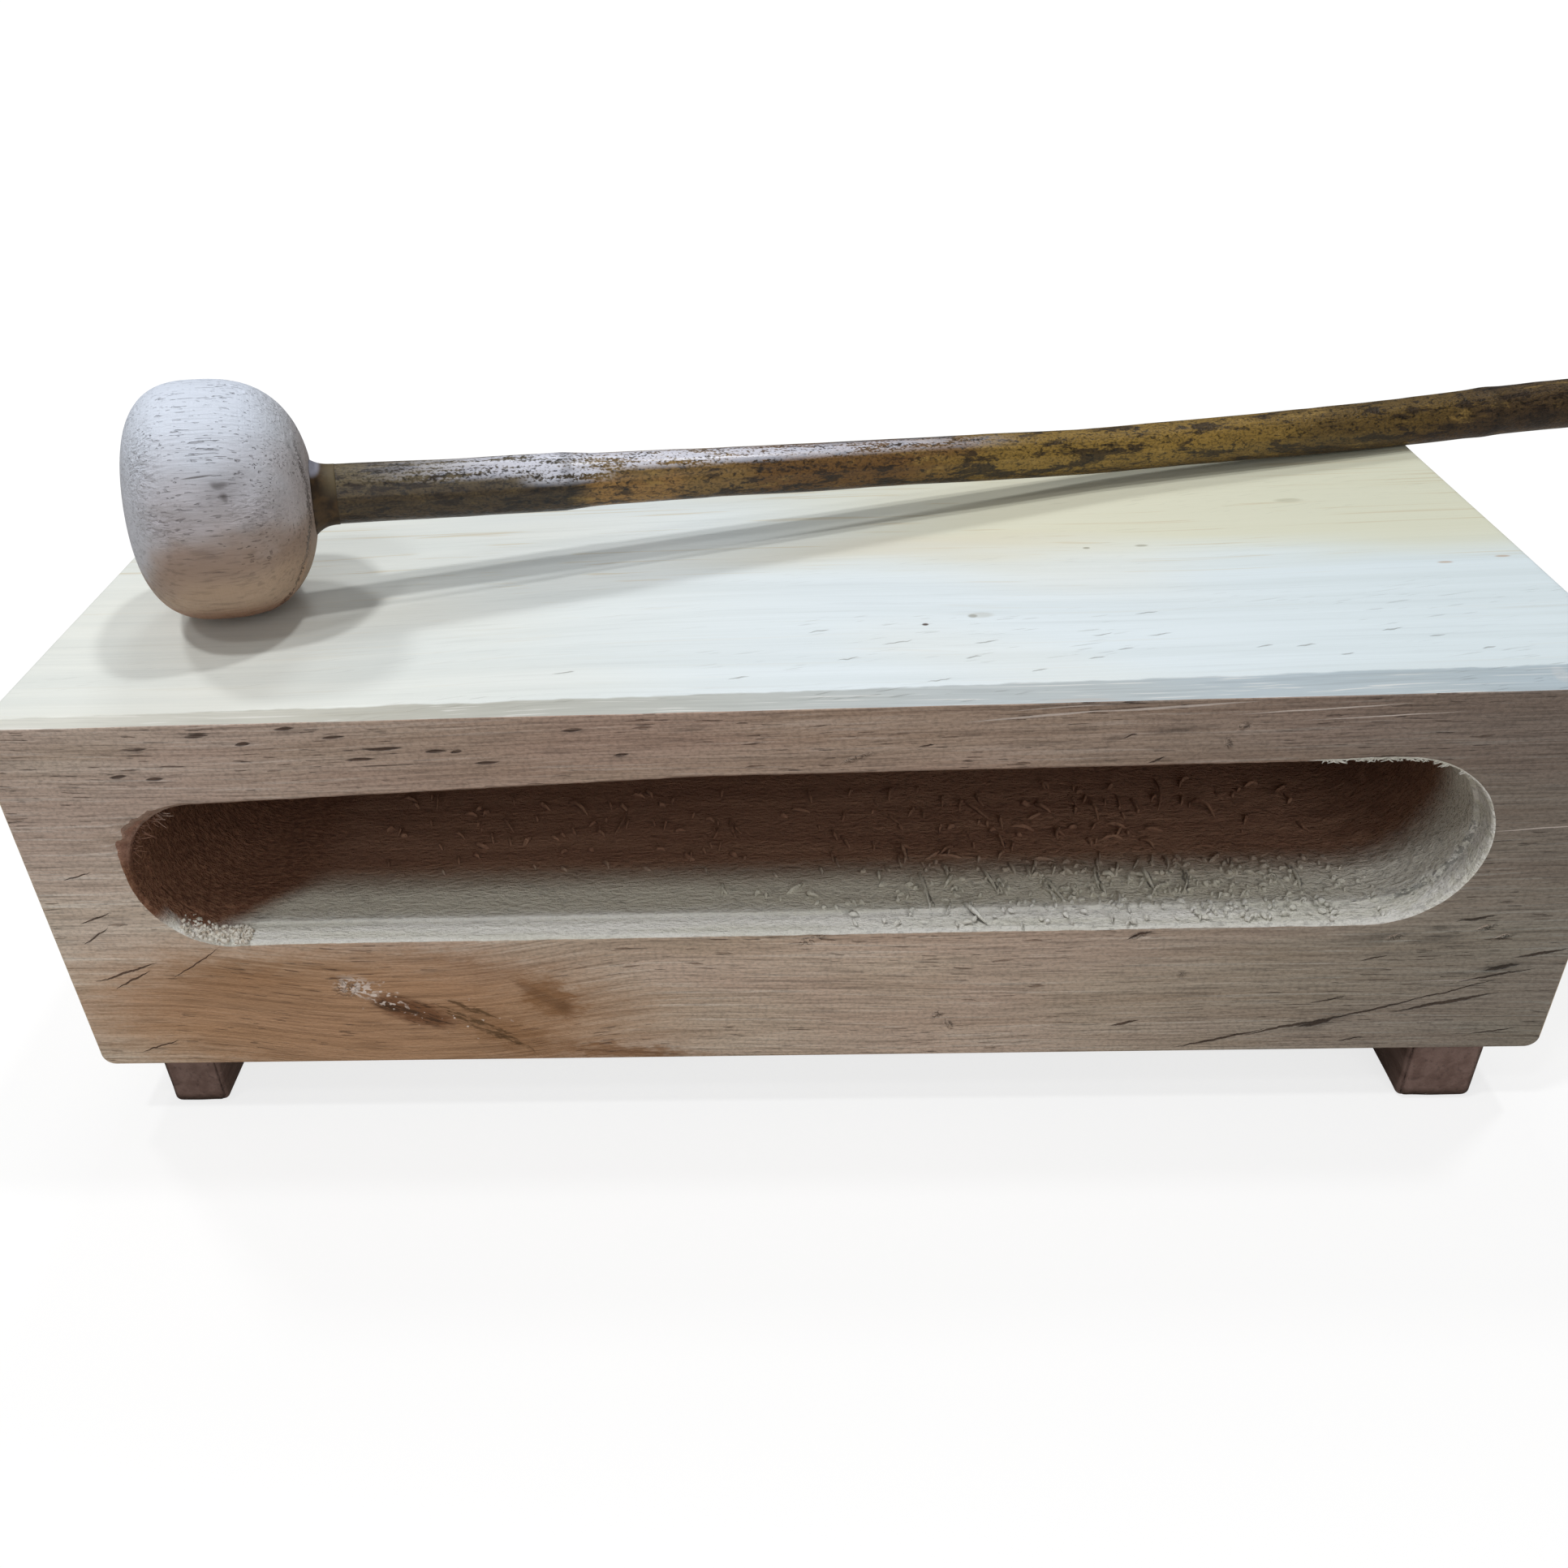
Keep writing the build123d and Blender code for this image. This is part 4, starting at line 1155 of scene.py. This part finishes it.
def floor_fibre(x, depth, length, heading, height):
    """Torn fibre on the slot's floor that curls up off it and lies over again."""
    count = 8
    run = np.linspace(0, 1, count)
    bend = random.uniform(-0.5, 0.5)
    angle = heading + bend * (run - 0.5) * 2
    step = length / (count - 1)
    xs = x + np.concatenate(([0], np.cumsum(np.cos(angle[1:]) * step)))
    ys = FRONT + depth + np.concatenate(([0], np.cumsum(np.sin(angle[1:]) * step)))
    rise = height * np.sin(run * math.pi) * random.uniform(0.4, 1.0)
    zs = SLOT_FLOOR + MOUTH_LEDGE + 0.08 + rise
    radii = 0.09 + 0.30 * np.sin(run * math.pi) ** 0.7 * random.uniform(0.7, 1.4)
    return tube(np.column_stack((xs, ys, zs)), radii)


def floor_fibres():
    """The long fibres of the table, then short fuzz and loose fibres at random."""
    for x, depth, length, heading in FIBRES:
        yield floor_fibre(x, depth, length, math.radians(heading), random.uniform(0.8, 1.6))
    for _ in range(300):
        x = random.triangular(-5, 82, 60)
        depth = random.uniform(0.6, 14)
        heading = math.radians(random.uniform(-180, 180))
        yield floor_fibre(x, depth, random.uniform(0.4, 1.4), heading, random.uniform(0.05, 0.3))
    for _ in range(150):
        x = random.triangular(-25, 78, 45)
        depth = random.uniform(5, 34)
        length = random.uniform(0.8, 3.6)
        heading = math.radians(random.gauss(-85, 35))
        yield floor_fibre(x, depth, length, heading, random.uniform(0.15, 0.8))
    for _ in range(60):
        x = random.uniform(-60, -10)
        depth = random.uniform(14, 34)
        length = random.uniform(0.8, 3)
        yield floor_fibre(x, depth, length, math.radians(random.gauss(-70, 40)), 0.5)


def roof_fibres():
    """Short fibres that hang from the lip of the slot's roof, near its right end."""
    for _ in range(150):
        x = random.uniform(63, 81)
        run = np.linspace(0, 1, 5)
        length = random.uniform(0.2, 1.3)
        lean = random.uniform(-1.6, 1.6)
        rise = half_chord(max(x, SLOT_RIGHT_X), SLOT_RIGHT_X, SLOT_RIGHT_RADIUS)
        xs = x + lean * run * length
        ys = FRONT + 0.35 - 0.3 * run * random.uniform(0, 1)
        zs = SLOT_ROOF - SLOT_RIGHT_RADIUS + rise + 0.45 - length * run + 0.4 * length * run**2
        yield tube(np.column_stack((xs, ys, zs)), 0.15 * (1.15 - run))


def corner_fibres():
    """Fibres at the torn lip of the slot's upper left corner."""
    for _ in range(70):
        x = random.uniform(-87, -80)
        run = np.linspace(0, 1, 6)
        rise = half_chord(x, SLOT_LEFT_X, SLOT_LEFT_RADIUS)
        z = SLOT_FLOOR + SLOT_LEFT_RADIUS + rise + random.uniform(-1.5, 0.8)
        length = random.uniform(0.8, 2.4)
        xs = x + length * run * random.uniform(0.2, 1.0)
        ys = FRONT + 1.6 - 1.2 * run * random.uniform(0.3, 1)
        zs = z - length * run * random.uniform(-0.2, 0.7) + 0.4 * run**2
        yield tube(np.column_stack((xs, ys, zs)), 0.13 * (1.15 - run))


def slot_fibres(finish):
    """Torn fibres on the slot's floor and at its lips."""
    tubes = itertools.chain(floor_fibres(), roof_fibres(), corner_fibres())
    return join_tubes("slot_fibres", tubes, finish)


def slot_crumbs(finish):
    """White crumbs of torn wood at the lower left of the slot's mouth."""
    tubes = []
    for _ in range(230):
        x = random.uniform(-82.6, -73.4)
        drop = half_chord(min(x, SLOT_LEFT_X), SLOT_LEFT_X, SLOT_LEFT_RADIUS)
        size = random.uniform(0.14, 0.42)
        z = SLOT_FLOOR + SLOT_LEFT_RADIUS - drop + size * 0.6
        centre = np.array((x, FRONT + random.uniform(0.0, 3.4), z))
        run = np.linspace(-1, 1, 6)
        lumps = 1 + 0.3 * np.array([random.uniform(-1, 1) for _ in run])
        radii = size * np.sqrt(np.maximum(0.05, 1 - run**2)) * lumps
        lean = np.array([random.uniform(-1, 1), random.uniform(-1, 1), random.uniform(-0.5, 1)])
        lean /= np.linalg.norm(lean)
        tubes.append(tube(centre + np.outer(run * size * 1.1, lean), radii, sides=7))
    return join_tubes("slot_crumbs", tubes, finish)


def make_runner(name, node, finish):
    """Square strip whose lower edges are worn round, a little uneven along its length."""
    low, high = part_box(node)
    middle_x = (low.x + high.x) / 2 / MM
    wide, long, tall = (high - low) / MM
    rounding = RUNNER_ROUNDING
    half = wide / 2
    path = np.concatenate((
        [(-half, 0), (-half, rounding - tall)],
        arc((rounding - half, rounding - tall), rounding, 180, 270, 7),
        arc((half - rounding, rounding - tall), rounding, 270, 360, 7),
        [(half, 0), (-half, 0)],
    ))
    outline = spread(path, 120)
    end = [(0, share) for share in (0.05, 0.4, 0.8, 0.94)]
    for angle in np.radians((15, 45, 70, 90)):
        end.append((rounding * (1 - math.cos(angle)), 1 - rounding * (1 - math.sin(angle)) / half))
    stations = end + [(y, 1.0) for y in np.linspace(2, long - 2, 60)]
    stations += [(long - y, share) for y, share in reversed(end)]
    rings = []
    for y, share in stations:
        wear = 0.06 * (1 + rumple(in_space(outline, y) + middle_x, (3, 9, 3))) / half
        rings.append(in_space(outline * (share * (1 - wear))[:, None], y))
    place = Matrix.Translation((middle_x * MM, low.y, high.z))
    return ring_mesh(name, place, rings, 0, [finish], cap_first=0, cap_last=0)


# Shape of the mallet

HEAD_STEPS, GLUE_STEPS, CANE_STEPS = 300, 96, 56
HEAD_CRACK = np.array((  # the crack from beside the handle down over the shoulder
    (10.8, -5.6, 9.0), (11.8, -5.7, 6.3), (12.2, -7.3, 0.3),
    (10.3, -8.3, -7.7), (7.8, -7.8, -11.4), (6.0, -6.0, -13.4),
))
CANE_STATIONS = (  # distance along the cane and radius
    (0, 4.0), (44, 4.0), (47, 4.04), (51, 3.70), (73.6, 3.52), (97.3, 3.46), (121, 3.45),
    (144.7, 3.49), (168.4, 3.61), (192, 3.85), (195, 4.0), (198, 3.85), (REACH, 3.85),
)
BUTT_ROUNDING = 0.9


def barrel(length, fullness, flat, count):
    """Distances and radii of one side of the barrel, from the widest ring out to its flat."""
    angle = np.linspace(0, math.acos((flat / HEAD_RADIUS) ** (fullness / 2)), count)
    return length * np.sin(angle) ** (2 / fullness), HEAD_RADIUS * np.cos(angle) ** (2 / fullness)


FREE_ALONG, FREE_RADII = barrel(*FREE_SIDE, 84)
BORE_ALONG, BORE_RADII = barrel(*BORE_SIDE, 100)
HEAD_MOUTH = BORE_ALONG[-1]
BORE_BOTTOM = HEAD_MOUTH - BORE_DEPTH
BORE_RADIUS = CANE_RADIUS + GLUE_FILM


def circle_at(distance, radius, steps):
    """Points round X at a distance along it, with one radius or a radius each."""
    turn = np.linspace(0, 2 * math.pi, steps, endpoint=False)
    return np.column_stack((np.full(steps, distance), np.cos(turn) * radius, np.sin(turn) * radius))


def turned(name, profile, finish, relief, steps, cap=None):
    """Object turned round X from a profile of distances and radii, with relief along the radius."""
    rings = []
    for distance, radius in profile:
        circle = circle_at(distance, radius, steps)
        rings.append(circle_at(distance, radius + relief(circle, distance, radius), steps))
    return ring_mesh(name, MALLET_PLACE, rings, 0, [finish], cap, cap)


def path_distance(points, path):
    """Distance of each point from the nearest stretch of a path."""
    nearest = np.full(len(points), np.inf)
    for start, end in zip(path[:-1], path[1:]):
        run = end - start
        share = np.clip(((points - start) @ run) / (run @ run), 0, 1)
        nearest = np.minimum(nearest, np.linalg.norm(points - start - share[:, None] * run, axis=1))
    return nearest


def head_relief(circle, distance, radius):
    """Out-of-roundness, pores along the axis, torn grain and the crack near the handle."""
    if radius < BORE_RADIUS + 0.5:
        return 0.0
    relief = -0.12 + 0.10 * rumple(circle, (14, 14, 14)) - 0.03 * np.abs(rumple(circle, (0.8, 9, 9)))
    pit = rumple(circle, (1.9, 0.5, 0.5)) * smooth(rumple(circle + 31.0, (6, 5, 5)), -0.3, 0.3)
    relief = relief - 0.14 * smooth(pit, 0.42, 0.62)
    for (x, z), (wide, high) in HEAD_TEARS:
        near = np.exp(-(((distance - x) / wide) ** 2) - ((circle[:, 2] - z) / high) ** 2)
        relief = relief + 0.20 * near * (circle[:, 1] < 0) * rumple(circle, (1.7, 0.5, 0.45))
    away = path_distance(circle + 0.5 * rumple(circle, (2, 2, 2))[:, None], HEAD_CRACK)
    raised_lips = 0.12 * np.exp(-(((away - 1.0) / 0.5) ** 2))
    return relief - 0.5 * np.exp(-((away / 0.42) ** 2)) + raised_lips


def make_head(finish):
    """Barrel with its flats, its skin and the blind bore for the handle."""
    profile = [(-FREE_ALONG[-1], radius) for radius in (0.3, FREE_RADII[-1] * 0.5, FREE_RADII[-1] * 0.9)]
    profile += list(zip(-FREE_ALONG[::-1], FREE_RADII[::-1]))
    profile += list(zip(BORE_ALONG[1:], BORE_RADII[1:]))
    profile += [(HEAD_MOUTH, BORE_RADIUS + 0.2), (HEAD_MOUTH - 0.1, BORE_RADIUS)]
    profile += [(distance, BORE_RADIUS) for distance in np.linspace(HEAD_MOUTH - 1, BORE_BOTTOM, 8)]
    profile += [(BORE_BOTTOM, 2.0), (BORE_BOTTOM, 0.3)]
    return turned("mallet_head_wood", profile, finish, head_relief, HEAD_STEPS, cap=0)


def glue_relief(circle, distance, radius):
    """Lumps of the bead where it stands proud of the head."""
    if distance < HEAD_MOUTH or radius < CANE_RADIUS + 0.035:
        return 0.0
    out = distance - HEAD_MOUTH
    blob = np.exp(-(((circle[:, 2] - 4.2) / 1.3) ** 2) - (((circle[:, 1] + 2.4) / 1.3) ** 2))
    flare = np.exp(-(((circle[:, 2] + 4.0) / 1.8) ** 2)) * math.exp(-out / 1.2)
    return math.exp(-out / 1.5) * (0.10 * rumple(circle, (2.2, 2.2, 2.2)) + 0.35 * blob) + 0.5 * flare


def make_glue(finish):
    """Sleeve in the bore and a hollow-sided bead in front of it, shut round the handle."""
    inside = CANE_RADIUS + GLUE_FIT
    outside = BORE_RADIUS - GLUE_FIT
    seat = HEAD_MOUTH + GLUE_FIT
    start = BORE_BOTTOM + GLUE_FILM
    end = seat + BEAD_LENGTH
    profile = [(start, inside), (start, outside), (seat - 0.1, outside), (seat, outside)]
    profile += [(seat, BEAD_RADIUS - 0.5)]
    for share in np.linspace(0, 1, 14):
        hollow = (BEAD_RADIUS - inside - 0.6) * (1 - share) ** 3
        profile.append((seat + 0.1 + (BEAD_LENGTH - 0.12) * share, inside + 0.02 + hollow))
    profile += [(end, inside + 0.005), (end, inside), (start, inside)]
    return turned("mallet_glue_bead", profile, finish, glue_relief, GLUE_STEPS)


def make_handle(finish):
    """Cane with its joint rings and crook, never quite round or straight."""
    start = BORE_BOTTOM + GLUE_FILM
    rings = []
    for distance in (*np.arange(start, REACH - 1, 0.75), *(REACH - np.array((0.9, 0.5, 0.25, 0.08, 0.0)))):
        radius = np.interp(distance, *np.transpose(CANE_STATIONS))
        inward = 1 - min(1.0, (REACH - distance) / BUTT_ROUNDING)
        radius -= 0.8 * (1 - math.sqrt(1 - inward**2))
        past = max(distance - CROOK, 0)
        soft = past * past / (past + 8)
        free = float(smooth(distance, HEAD_MOUTH + 4, HEAD_MOUTH + 20))
        sway = rumple(np.array([[distance, 0, 0], [distance, 9, 0]]), (34, 1, 1)) * 0.28 * free
        circle = circle_at(distance, 1.0, CANE_STEPS)
        relief = free * (0.10 * rumple(circle, (14, 1.2, 1.2)) + 0.03 * rumple(circle, (3, 0.5, 0.5)) - 0.04)
        shift = (0.0, sway[0] - soft * CROOK_FRONT, sway[1] + soft * CROOK_UP)
        rings.append(circle_at(distance, radius + relief, CANE_STEPS) + shift)
    return ring_mesh("mallet_cane", MALLET_PLACE, rings, 0, [finish], cap_first=0, cap_last=0)


# Pieces

slot_finish = pine_slot()
block = make_block([FrontPine().finished(), pine_top(), slot_finish, end_grain()])
fibres = slot_fibres(slot_finish)
crumbs = slot_crumbs(crumb_finish())
runner_finish = runner_wood()
runner_left = make_runner("runner_left_wood", "runner_left", runner_finish)
runner_right = make_runner("runner_right_wood", "runner_right", runner_finish)
head = make_head(head_wood())
cane = make_handle(cane_finish())
glue = make_glue(glue_finish())

for piece, body, node, slot_name in (
    (block, "block", "block", "block_wood"),
    (fibres, "block", None, "block_wood"),
    (crumbs, "block", None, "block_wood"),
    (runner_left, "block", "runner_left", "runner_wood"),
    (runner_right, "block", "runner_right", "runner_wood"),
    (head, "mallet", "mallet_head", "head_wood"),
    (cane, "mallet", "mallet_handle", "cane"),
    (glue, "mallet", "mallet_glue", "glue"),
):
    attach(piece, body)
    if node:
        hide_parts(node)


# Studio

BLOCK_MIDDLE = BLOCK_PLACE.translation + Vector((0, 0, HEIGHT * MM))
LAMP_DISTANCE = 2.2
FLOOR_HALF = 6.0


def white_for_eyes(tree, seen, felt):
    """Joins two shaders: seen by the camera, and felt by the light that falls on the object."""
    path = tree.nodes.new("ShaderNodeLightPath")
    mixed = tree.nodes.new("ShaderNodeMixShader")
    tree.links.new(path.outputs["Is Camera Ray"], mixed.inputs[0])
    tree.links.new(felt, mixed.inputs[1])
    tree.links.new(seen, mixed.inputs[2])
    return mixed.outputs[0]


def make_world():
    """White world that lights the object only faintly."""
    world = bpy.data.worlds.new("studio")
    bpy.context.scene.world = world
    world.use_nodes = True
    tree = world.node_tree
    tree.nodes.clear()
    lights = []
    for colour, strength in (((1, 1, 1, 1), 1.0), ((1.0, 0.98, 0.95, 1), 0.10)):
        light = tree.nodes.new("ShaderNodeBackground")
        light.inputs["Color"].default_value = colour
        light.inputs["Strength"].default_value = strength
        lights.append(light.outputs[0])
    output = tree.nodes.new("ShaderNodeOutputWorld")
    tree.links.new(white_for_eyes(tree, *lights), output.inputs["Surface"])


def make_floor():
    """White floor that keeps the object's shadow near it, and gives off warm light below it."""
    mesh = bpy.data.meshes.new("floor")
    corners = [(x * FLOOR_HALF, y * FLOOR_HALF, 0) for x, y in ((-1, -1), (1, -1), (1, 1), (-1, 1))]
    mesh.from_pydata(corners, [], [(0, 1, 2, 3)])
    paint = Finish("floor_white")
    bare = paint.place.length().step(110.0, 320.0, 0.72, 1.0)
    matt = paint.node("ShaderNodeBsdfDiffuse", (0.92, 0.92, 0.92, 1))
    glow = paint.node("ShaderNodeEmission", (1, 1, 1, 1), 1.06)
    seen = paint.node("ShaderNodeMixShader", bare, matt, glow)
    warm = paint.node("ShaderNodeBsdfDiffuse", (0.44, 0.40, 0.36, 1))
    paint.tree.nodes.remove(paint.shader)
    output = next(node for node in paint.tree.nodes if node.type == "OUTPUT_MATERIAL")
    mixed = white_for_eyes(paint.tree, seen.socket, warm.socket)
    paint.tree.links.new(mixed, output.inputs["Surface"])
    mesh.materials.append(paint.material)
    floor = bpy.data.objects.new("floor", mesh)
    bpy.context.scene.collection.objects.link(floor)


def make_lamp(name, slant, share, width, colour=(1, 1, 1)):
    """Round lamp at a slant in X and Y per unit of height, which gives the top a share of full light."""
    back = Vector((slant[0], slant[1], 1)).normalized()
    light = bpy.data.lights.new(name, "AREA")
    light.shape = "DISK"
    light.size = width * LAMP_DISTANCE
    light.energy = share * (math.pi * LAMP_DISTANCE) ** 2 / back.z
    light.color = colour
    lamp = bpy.data.objects.new(name, light)
    lamp.location = BLOCK_MIDDLE + back * LAMP_DISTANCE
    lamp.rotation_mode = "QUATERNION"
    lamp.rotation_quaternion = back.to_track_quat("Z", "Y")
    bpy.context.scene.collection.objects.link(lamp)


def make_camera():
    """The photograph's camera, found by fitting the block's edges in its 1932 pixel frame."""
    pixels = 1932
    focal = 1703.0
    centre_x = 880.6
    stand = (1.0, -181.7, 138.3)  # of the lens, in mm from the middle of the block's underside
    yaw, pitch, roll = (math.radians(angle) for angle in (-4.16, 33.16, -3.68))
    ahead = Vector((math.sin(yaw) * math.cos(pitch), math.cos(yaw) * math.cos(pitch), -math.sin(pitch)))
    level = Vector((math.cos(yaw), -math.sin(yaw), 0))
    up = level.cross(ahead)
    right = math.cos(roll) * level + math.sin(roll) * up
    above = -math.sin(roll) * level + math.cos(roll) * up
    data = bpy.data.cameras.new("camera")
    data.sensor_width = 36.0
    data.lens = focal / pixels * data.sensor_width
    data.shift_x = (pixels / 2 - centre_x) / pixels
    camera = bpy.data.objects.new("camera", data)
    place = Matrix((right, above, -ahead)).transposed().to_4x4()
    place.translation = BLOCK_PLACE.translation + Vector(stand) * MM
    camera.matrix_world = place
    bpy.context.scene.collection.objects.link(camera)
    bpy.context.scene.camera = camera


make_world()
make_floor()
make_lamp("lamp_right", (0.30, 0.20), 0.21, 0.08)
make_lamp("lamp_left", (-0.30, -0.15), 0.25, 0.09)
make_lamp("lamp_left_back", (-0.61, 0.53), 0.14, 0.12)
make_lamp("lamp_back", (0.0, 0.83), 0.09, 0.22, (0.9, 0.95, 1.0))
make_lamp("lamp_left_front", (-0.42, -0.48), 0.08, 0.12)
make_lamp("lamp_low_front", (0.4, -2.0), 0.125, 0.8)
make_camera()
bpy.context.scene.view_settings.view_transform = "Standard"
